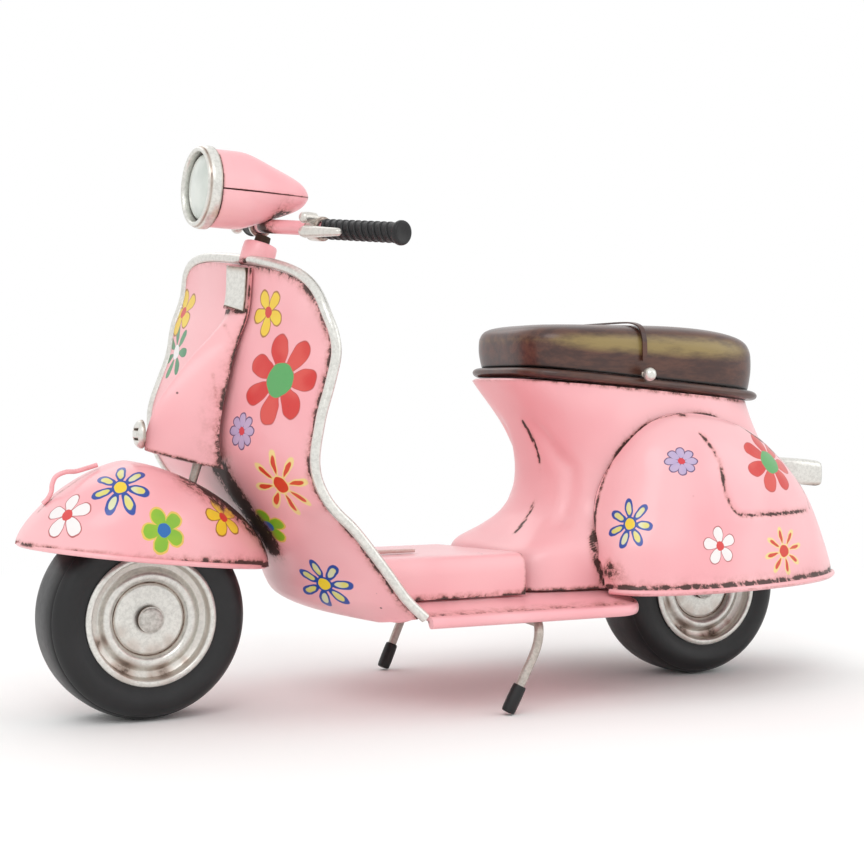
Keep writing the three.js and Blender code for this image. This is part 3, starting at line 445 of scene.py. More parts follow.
def wire(name, path, radius, material, closed=False, thickness=1.0, sides=14, grime=0.0):
    return grown(name, path, wireNodes, {"Radius": radius * mm, "Sides": sides, "Material": material},
                 closed, thickness, grime)


# finishes
def colour(red, green, blue):
    def linear(value):
        value /= 255
        return value / 12.92 if value <= 0.04045 else ((value + 0.055) / 1.055) ** 2.4
    return (linear(red), linear(green), linear(blue), 1.0)


# A number in a shader that plain arithmetic can be written with. Each sum adds a node.
class Value:
    def __init__(self, output):
        self.output = output

    def __add__(self, other):
        return calc("ADD", self, other)

    def __sub__(self, other):
        return calc("SUBTRACT", self, other)

    def __rsub__(self, other):
        return calc("SUBTRACT", other, self)

    def __mul__(self, other):
        return calc("MULTIPLY", self, other)

    def __truediv__(self, other):
        return calc("DIVIDE", self, other)

    def __rtruediv__(self, other):
        return calc("DIVIDE", other, self)


def calc(operation, first, second=0.0):
    owner = second if isinstance(first, float) else first
    return Value(put(owner, "ShaderNodeMath", {0: first, 1: second}, operation=operation).outputs[0])


def larger(first, second):
    return calc("MAXIMUM", first, second)


def blend(share, first, second):
    return put(share, "ShaderNodeMix", {0: share, 6: first, 7: second}, data_type="RGBA").outputs[2]


def step(value, low, high):
    return Value(put(value, "ShaderNodeMapRange", {0: value, 1: low, 2: high},
                     interpolation_type="SMOOTHSTEP").outputs[0])


def noise(place, scale, detail=3.0, rough=0.5):
    return Value(put(place, "ShaderNodeTexNoise", {
        "Vector": place, "Scale": scale, "Detail": detail, "Roughness": rough}).outputs[0])


def newMaterial(name):
    material = bpy.data.materials.new(name)
    material.use_nodes = True
    return material, put(material.node_tree, "ShaderNodeTexCoord").outputs["Object"]


def painted(material, label):
    return Value(put(material.node_tree, "ShaderNodeAttribute", attribute_name=label).outputs["Fac"])


# Joins the colour, roughness and height to a material. coat is the varnish's weight and roughness.
def finish(material, tint, rough, height, metallic=0.0, coat=(0.0, 0.03)):
    tree = material.node_tree
    bump = put(tree, "ShaderNodeBump", {"Height": height, "Strength": 0.5, "Distance": 0.12 * mm})
    link(tree.nodes["Principled BSDF"], {
        "Base Color": tint, "Roughness": rough, "Metallic": metallic, "Normal": bump,
        "Coat Weight": coat[0], "Coat Roughness": coat[1]})
    return material


# A printed flower: petals around a heart, in a plane whose x and y run to 1 at the petals' tips.
def flowerGroup():
    tree = bpy.data.node_groups.new("printedFlower", "ShaderNodeTree")
    numbers = ("Petals", "Start", "Width", "Outline", "Heart", "Drop", "Share")
    colours = ("Paint", "Petal colour", "Outline colour", "Heart colour", "Shade colour")
    addSockets(tree, "INPUT", [(label, "Float") for label in numbers])
    addSockets(tree, "INPUT", [(label, "Color") for label in colours] + [("Place", "Vector")])
    addSockets(tree, "OUTPUT", [("Color", "Color")])
    given = put(tree, "NodeGroupInput").outputs
    petals, start, width, outline, heartSize, drop, share = [Value(given[label]) for label in numbers]
    wobble = put(tree, "ShaderNodeTexNoise", {"Vector": given["Place"], "Scale": 2.3, "Detail": 1.0})
    shift = put(tree, "ShaderNodeVectorMath", {0: wobble.outputs["Color"], 1: (0.5, 0.5, 0.5)},
                operation="SUBTRACT")
    shift = put(tree, "ShaderNodeVectorMath", {0: shift, "Scale": 0.12}, operation="SCALE")
    spot = put(tree, "ShaderNodeVectorMath", {0: given["Place"], 1: shift}, operation="ADD").outputs[0]
    x, y, z = [Value(socket) for socket in put(tree, "ShaderNodeSeparateXYZ", {0: spot}).outputs]
    radius = calc("SQRT", x * x + y * y)
    turn = 2 * math.pi / petals
    angle = calc("ARCTAN2", y, x) + 20 * math.pi
    off = angle - calc("ROUND", angle / turn) * turn
    # a drop shape: the petal widens towards its tip
    far = (radius * calc("COSINE", off) - (start + 1.0) * 0.5) / ((1.0 - start) * 0.5)
    wide = radius * calc("SINE", off) / (width * larger(far * drop + 1.0, 0.2))
    out = (calc("SQRT", far * far + wide * wide) - 1.0) * width
    edge = radius - heartSize
    share = share * step(calc("ABSOLUTE", z), 1.15, 1.0)
    outlined = larger(step(out, outline + 0.01, outline - 0.01), step(edge - outline, 0.012, -0.012))
    paint = blend(step(noise(spot, 1.1, 1.0), 0.4, 0.6) * 0.7, given["Petal colour"], given["Shade colour"])
    tint = blend(outlined * share, given["Paint"], given["Outline colour"])
    tint = blend(step(out, 0.01, -0.01) * share, tint, paint)
    tint = blend(step(edge, 0.012, -0.012) * share, tint, given["Heart colour"])
    put(tree, "NodeGroupOutput", {"Color": tint})
    return tree


flowerNodes = flowerGroup()


flowers = {
    "yellow": {"petals": 5, "start": 0.12, "width": 0.27, "outline": 0.05, "heart": 0.25, "drop": 0.3,
               "petal": (249, 216, 52), "rim": (176, 118, 44),
               "centre": (222, 52, 40), "shade": (248, 206, 40)},
    "poppy": {"petals": 7, "start": 0.2, "width": 0.22, "outline": 0.012, "heart": 0.38, "drop": 0.4,
              "petal": (218, 36, 28), "rim": (180, 52, 40),
              "centre": (84, 172, 92), "shade": (230, 86, 74)},
    "lilac": {"petals": 8, "start": 0.2, "width": 0.23, "outline": 0.05, "heart": 0.24, "drop": 0.35,
              "petal": (194, 176, 214), "rim": (104, 84, 124),
              "centre": (224, 60, 72), "shade": (204, 182, 214)},
    "sun": {"petals": 8, "start": 0.38, "width": 0.085, "outline": 0.05, "heart": 0.29, "drop": 0.35,
            "petal": (220, 62, 40), "rim": (252, 226, 152),
            "centre": (222, 58, 40), "shade": (226, 84, 54)},
    "lime": {"petals": 5, "start": 0.1, "width": 0.31, "outline": 0.07, "heart": 0.32, "drop": 0.25,
             "petal": (148, 196, 40), "rim": (240, 200, 92),
             "centre": (22, 108, 186), "shade": (132, 190, 44)},
    "blue": {"petals": 7, "start": 0.42, "width": 0.13, "outline": 0.085, "heart": 0.26, "drop": 0.12,
             "petal": (232, 222, 116), "rim": (30, 72, 164),
             "centre": (250, 216, 50), "shade": (226, 232, 206)},
    "white": {"petals": 5, "start": 0.14, "width": 0.27, "outline": 0.035, "heart": 0.25, "drop": 0.3,
              "petal": (253, 247, 246), "rim": (188, 96, 96),
              "centre": (228, 70, 70), "shade": (253, 250, 249)},
    "leaf": {"petals": 7, "start": 0.3, "width": 0.16, "outline": 0.012, "heart": 0.28, "drop": 0.25,
             "petal": (60, 140, 92), "rim": (44, 112, 76),
             "centre": (250, 248, 246), "shade": (88, 158, 108)},
}


inkStrength = 0.94
standing = {"front": (1, 0, 0), "left": (0, 1, 0), "right": (0, -1, 0)}


# Finds a place on a piece and the way its surface faces there.
def surfaceSpot(piece, start, direction):
    tree = BVHTree.FromPolygons([v.co for v in piece.data.vertices],
                                [tuple(p.vertices) for p in piece.data.polygons])
    place, normal, _, _ = tree.ray_cast(Vector(start) * mm, Vector(direction))
    if place is None:
        raise ValueError("no surface on " + piece.name + " at " + str(start))
    return place, normal


# Prints one flower over a colour. The way is where one stands to look at it, the size its half width and
# height.
def printFlower(place, tint, piece, share, kind, spot, way, size, spin):
    style = flowers[kind]
    start = np.array(spot, float) - 300 * np.array(standing[way])
    centre, normal = surfaceSpot(piece, start, standing[way])
    up = (Vector((0, 0, 1)) - normal * normal.z).normalized()
    basis = Matrix((up.cross(normal), up, normal)).transposed()
    # the ellipse is laid along the surface's own level line, so spin only turns the petals' pattern
    flat = put(place, "ShaderNodeMapping", {
        "Vector": place, "Location": centre, "Rotation": basis.to_euler(),
        "Scale": (size[0] * mm, size[1] * mm, 9 * mm)}, vector_type="TEXTURE")
    flat = put(place, "ShaderNodeMapping", {"Vector": flat, "Rotation": (0, 0, -math.radians(spin + 90))})
    sizes = {label.capitalize(): float(style[label]) for label in (
        "petals", "start", "width", "outline", "heart", "drop")}
    inks = {label + " colour": colour(*[value * inkStrength for value in style[part]]) for label, part in (
        ("Petal", "petal"), ("Outline", "rim"), ("Heart", "centre"), ("Shade", "shade"))}
    group = put(place, "ShaderNodeGroup", node_tree=flowerNodes)
    return link(group, {"Paint": tint, "Place": flat, "Share": share, **sizes, **inks}).outputs[0]


enamelSettings = {
    "pink": (244, 184, 188), "blush": (239, 168, 174), "stainAndShade": (172, 100, 88), "dirtAndShade": (56, 32, 26),
    "roughness": 0.3, "varnish": (0.25, 0.12),
}


# Glossy pink paint, stained and dirty, and darkened with painted shade, where the piece's grime-and-shade
# value says so.
def enamel(name, piece=None, prints=()):
    s = enamelSettings
    material, place = newMaterial(name)
    grime, paint = painted(material, "grime"), painted(material, "paint")
    tint = blend(step(noise(place, 28, 2), 0.35, 0.7), colour(*s["pink"]), colour(*s["blush"]))
    for row in prints:
        tint = printFlower(place, tint, piece, paint, *row)
    fine, coarse = noise(place, 1000, 4, 0.65), noise(place, 260, 4, 0.6)
    patchy = step(fine, 0.36, 0.64) * 0.5 + step(coarse, 0.38, 0.62) * 0.75
    ragged = grime * (patchy * 0.8 + 0.42)
    # the dark colour paints dirt, and also the painted shade marks
    dirtAndShade = larger(step(ragged, 0.42, 0.74) * 0.96, step(grime, 0.8, 1.1) * 0.92)
    speck = put(place, "ShaderNodeTexVoronoi", {"Vector": place, "Scale": 150.0}).outputs[0]
    chip = step(speck, 0.07, 0.045) * step(noise(place, 46, 2), 0.6, 0.68)
    tint = blend(step(ragged, 0.05, 0.6) * 0.6, tint, colour(*s["stainAndShade"]))
    tint = blend(larger(dirtAndShade, chip * 0.8), tint, colour(*s["dirtAndShade"]))
    rough = dirtAndShade * 0.4 + coarse * 0.08 + s["roughness"]
    return finish(material, tint, rough, coarse + fine * 0.3 - dirtAndShade * 0.8, coat=s["varnish"])


# Silver paint or bare metal. cover is how much of the dirt lies everywhere, haze the thin edge of the dirt
# and painted shade.
def metal(name, bright, dull, dirtAndShade, metallic, rough, cover):
    material, place = newMaterial(name)
    fine, coarse = noise(place, 900, 4, 0.7), noise(place, 120, 3)
    ragged = (painted(material, "grime") + cover * 0.1) * (fine * 0.75 + coarse * 0.6 + 0.35)
    dark = step(ragged, 0.5, 0.85)
    haze = [min(255, int(value * 2.2)) for value in dirtAndShade]
    tint = blend(step(fine, 0.36, 0.62), colour(*dull), colour(*bright))
    tint = blend(step(ragged, 0.08, 0.7) * 0.55, tint, colour(*haze))
    tint = blend(dark, tint, colour(*dirtAndShade))
    return finish(material, tint, fine * 0.14 + dark * 0.35 + rough, fine - dark, metallic)


def rubberLike(name, dark, light, scale, rough):
    material, place = newMaterial(name)
    fine = noise(place, scale, 4, 0.6)
    dust = larger(step(noise(place, 60), 0.45, 0.75) * 0.35, painted(material, "grime") * 0.8)
    return finish(material, blend(dust, colour(*dark), colour(*light)), fine * 0.18 + rough, fine)


# the olive gold colour paints a highlight along the seat cover's rounded side
seatPaint = {"leather": (58, 29, 22), "streak": (88, 52, 38), "goldHighlight": (142, 122, 72), "dirtAndShade": (30, 18, 14),
             "varnish": (0.35, 0.16)}
lensPaint = {"pale": (214, 219, 212), "cloud": (190, 197, 190), "dirtAndShade": (70, 62, 50), "varnish": (0.5, 0.08)}


# Brown tin painted like leather, with a painted highlight in olive gold where its "paint" is high.
def brownTin(name):
    s = seatPaint
    material, place = newMaterial(name)
    stretched = put(place, "ShaderNodeMapping", {"Vector": place, "Scale": (0.6, 2.2, 2.4)}).outputs[0]
    streak, fine = noise(stretched, 150, 4, 0.65), noise(place, 900, 3, 0.6)
    goldHighlight = painted(material, "paint") * (streak * 0.9 + 0.4)
    dirtAndShade = painted(material, "grime") * (fine + 0.5)
    tint = blend(step(streak, 0.34, 0.68), colour(*s["leather"]), colour(*s["streak"]))
    tint = blend(step(goldHighlight, 0.2, 0.75), tint, colour(*s["goldHighlight"]))
    tint = blend(step(dirtAndShade, 0.35, 0.75), tint, colour(*s["dirtAndShade"]))
    return finish(material, tint, streak * 0.16 + 0.3, streak + fine * 0.35, coat=s["varnish"])


def paintedLens(name):
    s = lensPaint
    material, place = newMaterial(name)
    cloud, fine = noise(place, 90), noise(place, 800)
    tint = blend(step(cloud, 0.35, 0.7), colour(*s["pale"]), colour(*s["cloud"]))
    tint = blend(step(painted(material, "grime") * (fine + 0.4), 0.3, 0.8), tint, colour(*s["dirtAndShade"]))
    return finish(material, tint, fine * 0.1 + 0.2, cloud, coat=s["varnish"])


silver = metal("silverPaint", (230, 229, 223), (212, 211, 205), (66, 46, 32), 0.72, 0.24, 0.0)
dullSilver = metal("wornSilver", (212, 211, 206), (180, 178, 172), (70, 54, 42), 0.5, 0.34, 1.0)
steel = metal("darkSteel", (126, 124, 122), (82, 80, 80), (38, 28, 24), 0.8, 0.38, 1.5)
brass = metal("oldBrass", (196, 158, 92), (150, 116, 62), (60, 42, 22), 0.9, 0.3, 1.0)
# a pale pinkish white that paints the highlights along the runner strips' raised tops
runnerHighlight = metal("paintedRunnerHighlight", (238, 226, 222), (214, 190, 186), (84, 58, 50), 0.1, 0.4, 1.4)
tyreRubber = rubberLike("tyreRubber", (15, 15, 17), (40, 40, 43), 500, 0.34)
gripRubber = rubberLike("gripRubber", (15, 15, 17), (52, 51, 50), 800, 0.38)
leatherTin, plainPink, lensLook = brownTin("seatPaint"), enamel("pinkEnamel"), paintedLens("lensPaint")
print("finishes:", len(bpy.data.materials))


# fender, crest, column and fork arm
fenderSize = {"half": 24.8, "lip": 0.3, "middle": -4.0, "front": 31.38, "rear": 42.5, "rim": 17.6,
              "fall": 0.121, "top": 44.9, "wire": 0.75, "wall": 1.0}
fenderPrints = [
    ("white", (-128.1, -14.4, 60.1), "left", (6.6, 7.2), 8),
    ("blue", (-113.8, -16.5, 67.5), "left", (6.9, 8.2), 6),
    ("lime", (-103.4, -23.7, 55.7), "left", (6.0, 6.3), 20),
    ("yellow", (-83.9, -16.5, 58.2), "left", (6.2, 6.0), 0),
    ("yellow", (-120.5, 16.5, 62.0), "right", (6.6, 7.2), 14),
    ("lilac", (-104.0, 20.0, 62.0), "right", (7.4, 7.4), 0),
    ("poppy", (-86.5, 17.5, 57.5), "right", (6.4, 6.4), 30),
]
crest = {"radius": 0.68, "line": [
    (-28, 1.0), (-26.6, 1.1), (-25.6, 2.2), (-25.3, 4.2), (-24.2, 5.4), (-21.5, 4.6), (-18.7, 2.9),
    (-15.5, 1.9), (-12.4, 1.3)]}


def rimAt(dx):
    return fenderSize["rim"] - dx * fenderSize["fall"]


def fenderRise(t):
    height = fenderSize["top"] - rimAt(fenderSize["middle"])
    return height * np.where(t < 0, swell(t, 1.35), swell(t, 1.75))


def fenderReach(way):
    return np.where(way < 0, fenderSize["front"], fenderSize["rear"])


def fenderGrid(rows=84, columns=170):
    s = fenderSize
    t = -np.cos(np.linspace(0.13, math.pi - 0.13, columns))[None, :]
    dx = s["middle"] + t * fenderReach(t)
    across = np.linspace(-math.pi / 2, math.pi / 2, rows)[:, None]
    side = np.sin(across)
    flare = s["lip"] * clamped((np.abs(across) - 1.49) / 0.08) ** 2
    y = np.sign(side) * (s["half"] * swell(t, 2) * np.abs(side) ** 0.85 + flare)
    return stack(frontX + dx, y, axleZ + rimAt(dx) + fenderRise(t) * np.cos(across) ** 0.85)


# A place on the ridge, or above it.
def ridgeAt(dx, lift=0.0):
    away = dx - fenderSize["middle"]
    return stack(frontX + dx, 0, axleZ + rimAt(dx) + fenderRise(away / fenderReach(away)) + lift)


def buildFender():
    s = fenderSize
    grid = fenderGrid()[:, ::-1]
    along = grid[..., 0] - frontX
    above = grid[..., 2] - axleZ - rimAt(along)
    below = ridgeAt(along)[..., 2] - grid[..., 2]
    back = clamped((along + 12) / 30)
    crestLine = smoothLine([ridgeAt(dx) for dx in (-29, -25, -19, -12)], 20)
    stainAndShade = bell(above - 0.6, 0.9) * (0.6 + 0.4 * back) + bell(above, 4.0) * 0.4 * back
    # below the ridge towards the rear, a band of painted shade where the fender runs up to the legshield;
    # along the crest, grime
    stainAndShade = np.maximum(stainAndShade, marks((below, 5.0, 1.25 * clamped((along - 2) / 16)),
                                    (distanceTo(grid, crestLine), 0.9, 0.8)))
    side = -1 if facingOf(grid)[40, 80, 2] < 0 else 1
    tin = shell("visFenderTin", grid, s["wall"], side, grime=stainAndShade)
    angle = fullTurn(180)
    t, swing = -np.cos(angle) * 0.966, np.abs(np.sin(angle))
    dx = s["middle"] + t * fenderReach(t)
    out = s["half"] * swing + 0.5 * np.minimum(1, 4 * swing)
    path = stack(frontX + dx, np.sign(np.sin(angle)) * out, axleZ + rimAt(dx) + 0.1)
    rim = wire("visFenderRim", path, s["wire"], plainPink, closed=True, grime=0.12)
    paint = enamel("fenderEnamel", tin, fenderPrints)
    fit(joined("visFender", tin, rim), "front_end", paint, "front_fender")
    line = smoothLine([ridgeAt(dx, lift) for dx, lift in crest["line"]], 60)
    fit(wire("visCrest", line, crest["radius"], plainPink, grime=0.18), "front_end", plainPink,
        "fender_crest")


buildFender()

columnSize = {"thin": 1.6, "thick": 2.4, "step": 1.17, "foot": 36.2, "neck": 101.7, "bar": 113.9, "cap": 3.0}
armSize = {"radius": 2.15, "out": 17.2, "shoulder": 15.6, "eye": 3.6, "inner": 15.0, "outer": 19.4}
# how far up the steering axis the column's foot, the collar, the column's top and the handlebar are
columnFoot, neck, columnTop, barRise = [height / steerUp[2] for height in (
    columnSize["foot"], columnSize["neck"], columnSize["bar"] - columnSize["cap"], columnSize["bar"])]


def buildColumn():
    s, arm = columnSize, armSize
    shoulder = neck - s["step"]
    pairs = rounded([
        (0, columnFoot), (s["thin"], columnFoot), (s["thin"], shoulder), (s["thick"], shoulder + 0.1),
        (s["thick"], columnTop - 0.2), (s["thick"] - 0.5, columnTop), (0, columnTop)], 1)
    post = turned("visColumn", pairs, steerFoot, steerUp, 40,
                  lambda r, d: 0.75 * bell(d - columnTop, 2.5) + 0.35)
    fit(post, "front_end", dullSilver, "steering_column")

    x, _, z = steerFoot + steerUp * columnFoot
    start = z - s["thin"] * steerUp[0] - clearance - 2.2
    line = smoothLine([
        (x, -2, start), (x - 1, 7, start), (x - 4, arm["shoulder"], start - 4.5),
        (between(x, frontX, 0.75), arm["out"], (start + axleZ) / 2), (frontX, arm["out"], axleZ - 2.7)], 70)
    rod = wire("visForkArmRod", line, arm["radius"], steel, sides=20, grime=0.4)
    face, inner, outer = arm["eye"] - 0.5, arm["inner"], arm["outer"]
    eye = turned("visForkEye", rounded([
        (0, inner), (face, inner), (arm["eye"], inner + 0.5), (arm["eye"], outer - 0.5), (face, outer),
        (0, outer)], 1), (frontX, 0, axleZ), (0, 1, 0), 40)
    fit(joined("visForkArm", rod, eye), "front_end", steel, "fork_arm")


buildColumn()
print("fender and fork: done")


# wheels
tyreHalf = rounded([
    (17.4, 11.0), (18.2, 11.5), (20.6, 11.5), (22.6, 12.2), (24.2, 12.3), (25.9, 11.9), (27.2, 10.9),
    (28.0, 9.6), (27.75, 9.3), (28.3, 9.05), (28.9, 7.0), (29.22, 4.6), (29.3, 2.0)])
tyreProfile = np.vstack([tyreHalf, (tyreHalf * (1, -1))[::-1]])
capProfile = rounded([
    (2.15, 9.3), (6.5, 9.25), (9.7, 9.2), (10.1, 8.7), (10.6, 8.75), (11.1, 10.0), (12.3, 10.75),
    (13.6, 10.3), (14.3, 9.2), (15.2, 8.8), (16.3, 8.9), (16.9, 9.8), (17.0, 11.9), (17.4, 12.6),
    (18.1, 12.7), (18.9, 12.35), (19.1, 11.9), (18.6, 11.6), (17.3, 11.6), (16.1, 8.4),
    (2.15, 8.5)], closed=True)
nutSize = {"hex": 3.85, "dome": 3.9 * 0.93, "foot": 10.15, "shoulder": 11.2, "rise": 1.5}
# painted shade in the lower half of a hubcap: where it lies around the rim, and how wide it is
capShade = [(-50, 1.8), (-76, 3.8), (-88, 2.0), (-118, 4.4), (-127, 2.4), (-158, 2.8)]


def capGrime(r, y):
    return min(1, 0.75 * bell(r - 10.4, 0.35) + 0.4 * bell(r - 15.9, 0.8) + 0.55 * bell(r - 4.1, 0.5)
               + 0.35 * bell(r - 17.0, 0.3))


def buildWheel(end, x):
    hub, body = (x, 0, axleZ), end + "_wheel"
    tread = turned("visTyre_" + end, tyreProfile, hub, None, 200, lambda r, y: 0.35 * bell(r - 29.3, 0.5),
                   ends="loop")
    fit(tread, body, tyreRubber, end + "_tyre")

    def around(degrees, radius, y):
        k = math.radians(degrees)
        return x + radius * math.cos(k), y, axleZ + radius * math.sin(k)

    for side, sign in bothSides:
        cap = turned("visHubcap_" + end + side, capProfile * (1, sign), hub, None, 160, capGrime, ends="loop")
        # painted shade over the lower half, at the foot of the lip and by the groove
        spots = [(around(degrees, 16, sign * 10), width, 0.72) for degrees, width in capShade]
        spots += [(around(degrees, 9, sign * 9.2), 3.0, 0.4) for degrees, _ in capShade]
        fit(soilAndShade(cap, *spots), body, silver, end + "_hubcap_" + side)
    s = nutSize
    dome = [(s["dome"] * math.cos(k), -s["shoulder"] - s["rise"] * math.sin(k))
            for k in np.linspace(0.3, 1.5, 14)]
    pairs = [(s["hex"], -s["foot"]), (s["hex"], -11.3), (s["hex"] * 0.97, -11.6)] + dome
    nut = turned("visDomeNut_" + end, pairs, hub, None, 96,
                 lambda r, y: 0.9 if y > -11 else 0.5 if y > -11.4 else 0.12, 30)
    fit(nut, body, dullSilver, end + "_dome_nut")


buildWheel("front", frontX)
buildWheel("rear", rearX)
print("wheels: done")


# legshield, beading, collar, horn cover, badge and horn
shieldSize = {"half": 43.6, "bottom": -3, "sideLift": 3.2, "top": 101.7, "left": 27, "right": 13,
              "power": 3.2, "roll": 0.12, "wall": 1.0, "bead": 1.48, "beadOut": 2.05, "tuck": 0.5}
shieldX = frontX + 43.5
shieldMiddle = smoothRun([
    (-3, 24), (-1.8, 14), (0, 7.5), (3.2, 1.5), (6.7, -0.8), (11.9, -2), (20.6, -6.5), (27.7, -10.5),
    (34.2, -14.8), (41.9, -18.5), (49.2, -20), (56.4, -19.8), (68.1, -17.6), (79.7, -15.1), (88.7, -12.5),
    (101.7, -11.5)])
shieldWrap = smoothRun([
    (-3, 0), (-1.8, 8), (0, 16.5), (3.2, 19.1), (11.9, 14.5), (20.6, 11.2), (27.7, 7.8), (34.2, 4.2),
    (43.6, 2.6), (55.7, 2.7), (63.3, 3.4), (71.7, 4.4), (80.7, 4.2), (91.7, 2.8), (101.7, 2.8)])
shieldSkew = smoothRun([
    (-3, 0), (3.2, 0.4), (11.9, 1.5), (20.6, 3), (27.7, 5), (34.2, 7), (43.6, 8.5), (55.7, 9.5), (63.3, 8.9),
    (71.7, 8.4), (80.7, 8.5), (91.7, 6.4), (101.7, 7.2)])
shieldPrints = [
    ("yellow", (-69.8, -15.6, 116.9), "front", (7.2, 6.8), 30),
    ("poppy", (-70.3, -26.7, 97.3), "front", (15.2, 13.2), 12),
    ("lilac", (-76.9, -13.1, 82.6), "front", (5.8, 5.0), 0),
    ("sun", (-70.9, -28.9, 67.7), "front", (11.4, 8.4), 8),
    ("lime", (-67.8, -9.8, 54.6), "front", (9.4, 5.4), 0),
    ("blue", (-55.8, -24.4, 38.5), "front", (9.4, 6.6), 14),
    ("leaf", (-80.7, 38.2, 106.4), "front", (9.0, 8.6), 10),
    ("yellow", (-78.0, 40.5, 119.0), "front", (8.0, 7.6), 20),
    ("lilac", (-78.0, 24.0, 94.0), "front", (7.6, 7.2), 0),
    ("lime", (-66.0, 17.0, 56.0), "front", (7.5, 7.0), 0),
]
# a line of painted shade on the legshield, behind the fender's rear where the fender hides it
fenderShadeLine = [(-78.4, 0.5, 70.8), (-75.9, -0.5, 65.4), (-72.9, -2, 60.2), (-69, -3.5, 54.1), (-66, -5.5, 49)]


def shieldPoint(side, z):
    s = side / shieldSize["half"]
    x = shieldX + shieldMiddle(z) + shieldWrap(z) * np.abs(s) ** 2.1 - shieldSkew(z) * s
    t = clamped((z - 10) / 80)
    return stack(x, side, axleZ + z + side * shieldSize["roll"] * t * t * (3 - 2 * t))


def beadingPath():
    s = shieldSize
    out = s["beadOut"]

    def flank(sign):
        shoulder = s["top"] - (s["left"] if sign < 0 else s["right"])
        z = between(s["bottom"] + s["sideLift"] + 0.5, shoulder, np.arange(24) / 24)
        return shieldPoint(sign * (s["half"] + out) + 0 * z, z)

    a = np.linspace(-math.pi / 2, math.pi / 2, 81)
    corner = np.where(a < 0, s["left"], s["right"]).astype(float)
    side, up = squared(np.sin(a), 2 / s["power"]), np.abs(np.cos(a)) ** (2 / s["power"])
    bend = s["power"] - 1
    away = unit(np.stack([squared(side, bend) / s["half"], up ** bend / corner], -1)) * out
    arch = shieldPoint(s["half"] * side + away[:, 0], s["top"] - corner + corner * up + away[:, 1])
    return np.vstack([flank(-1), arch, flank(1)[::-1]]) + (s["wall"] / 2, 0, 0)


def shieldGrid(rows=150, columns=150):
    s = shieldSize
    side = (np.sin(np.linspace(-1.45, 1.45, columns)) / math.sin(1.45))[None, :]
    foot = s["bottom"] + s["sideLift"] * np.abs(side) ** 3
    corner = np.where(side < 0, s["left"], s["right"])
    head = s["top"] - corner * (1 - swell(side * 0.999, s["power"])) + s["tuck"]
    z = between(foot, head, (np.linspace(0, 1, rows) ** 1.25)[:, None])
    return shieldPoint(side * (s["half"] + s["tuck"]) + 0 * z, z)


coverSize = {"bottom": 42.2, "top": 101.7, "notch": 5.7, "wall": 0.9}
noseReach = smoothRun([(0, 21.2), (7, 21.2), (13, 20), (20, 18), (27, 14.2), (34, 9.6), (39, 5.7), (47, 1.5),
                       (60, 1)])
coverWidth = smoothRun([(0, 5.8), (15, 5.8), (34, 5.6), (47, 6.4), (60, 6.6)])
coverScratches = [[(-78, -1.4, 113.6), (-76.2, -5.1, 107.6)],
                  [(-82.5, -3.9, 98.8), (-81.6, -5, 90), (-80.4, -5.6, 82.8)]]
badgeSize = {"height": 13.0, "width": 0.95, "lift": 0.75, "ridge": 1.9, "wall": 0.7}
hornSize = {"slits": (-0.33, 0.33), "slit": 0.11, "reach": 0.62, "deep": 0.7}


def coverPoint(u, v, lift=0.0):
    s = 2 * u - 1
    foot = coverSize["bottom"] + coverSize["notch"] * (1 - np.abs(s) ** 1.3)
    z = between(foot, coverSize["top"], v)
    width, nose = coverWidth(z - coverSize["bottom"]), noseReach(z - coverSize["bottom"])
    seated = 0.55 + 0.9 / np.hypot(1, nose / width)
    # the ridge is a bent edge, a little round
    ridge = 1 - (np.sqrt(s * s + 0.004) - 0.0632) ** 1.35
    return shieldPoint(s * width, z) + stack(-nose * ridge - seated - lift, 0, 0)


def shieldStainAndShade(grid):
    edge = distanceTo(grid, beadingPath())
    left = np.clip(0.55 - grid[..., 1] / 60, 0.35, 1)
    stainAndShade = left * (0.95 * bell(edge, 2.6) + 0.25 * bell(edge, 5))
    for side in (0.0, 1.0):
        gap = distanceTo(grid, coverPoint(side, np.linspace(0, 1, 40)))
        stainAndShade = np.maximum(stainAndShade, 0.75 * bell(gap, 0.7) + 0.2 * bell(gap, 3.5))
    # painted shade of the fender, strong and wide, along that line
    stainAndShade = stainAndShade + 1.3 * bell(distanceTo(grid, smoothLine(fenderShadeLine, 40)), 5.4)
    return np.clip(stainAndShade + 0.1 * clamped((34 - grid[..., 2]) / 7), 0, 1.3)


def buildShield():
    s = shieldSize
    grid = shieldGrid()
    panel = shell("visLegshield", grid, s["wall"], -1, grime=shieldStainAndShade(grid))
    fit(panel, "chassis", enamel("shieldEnamel", panel, shieldPrints), "legshield")
    line = smoothLine(beadingPath(), 260)
    fit(wire("visBeading", line, s["bead"], silver, sides=18, grime=0.1), "chassis", silver,
        "legshield_beading")
    pairs = rounded([(0, -0.3), (4.6, -0.3), (5.1, 0.3), (5.15, 6.2), (4.7, 7.1), (2.75, 7.1), (2.75, 5.0),
                     (0, 5.0)], 1) + (0, neck)
    collar = turned("visCollar", pairs, steerFoot, steerUp, 64,
                    lambda r, d: 0.8 * bell(d - neck, 1.0) + (0.9 if r < 3 else 0.1))
    fit(collar, "chassis", plainPink, "steering_head")


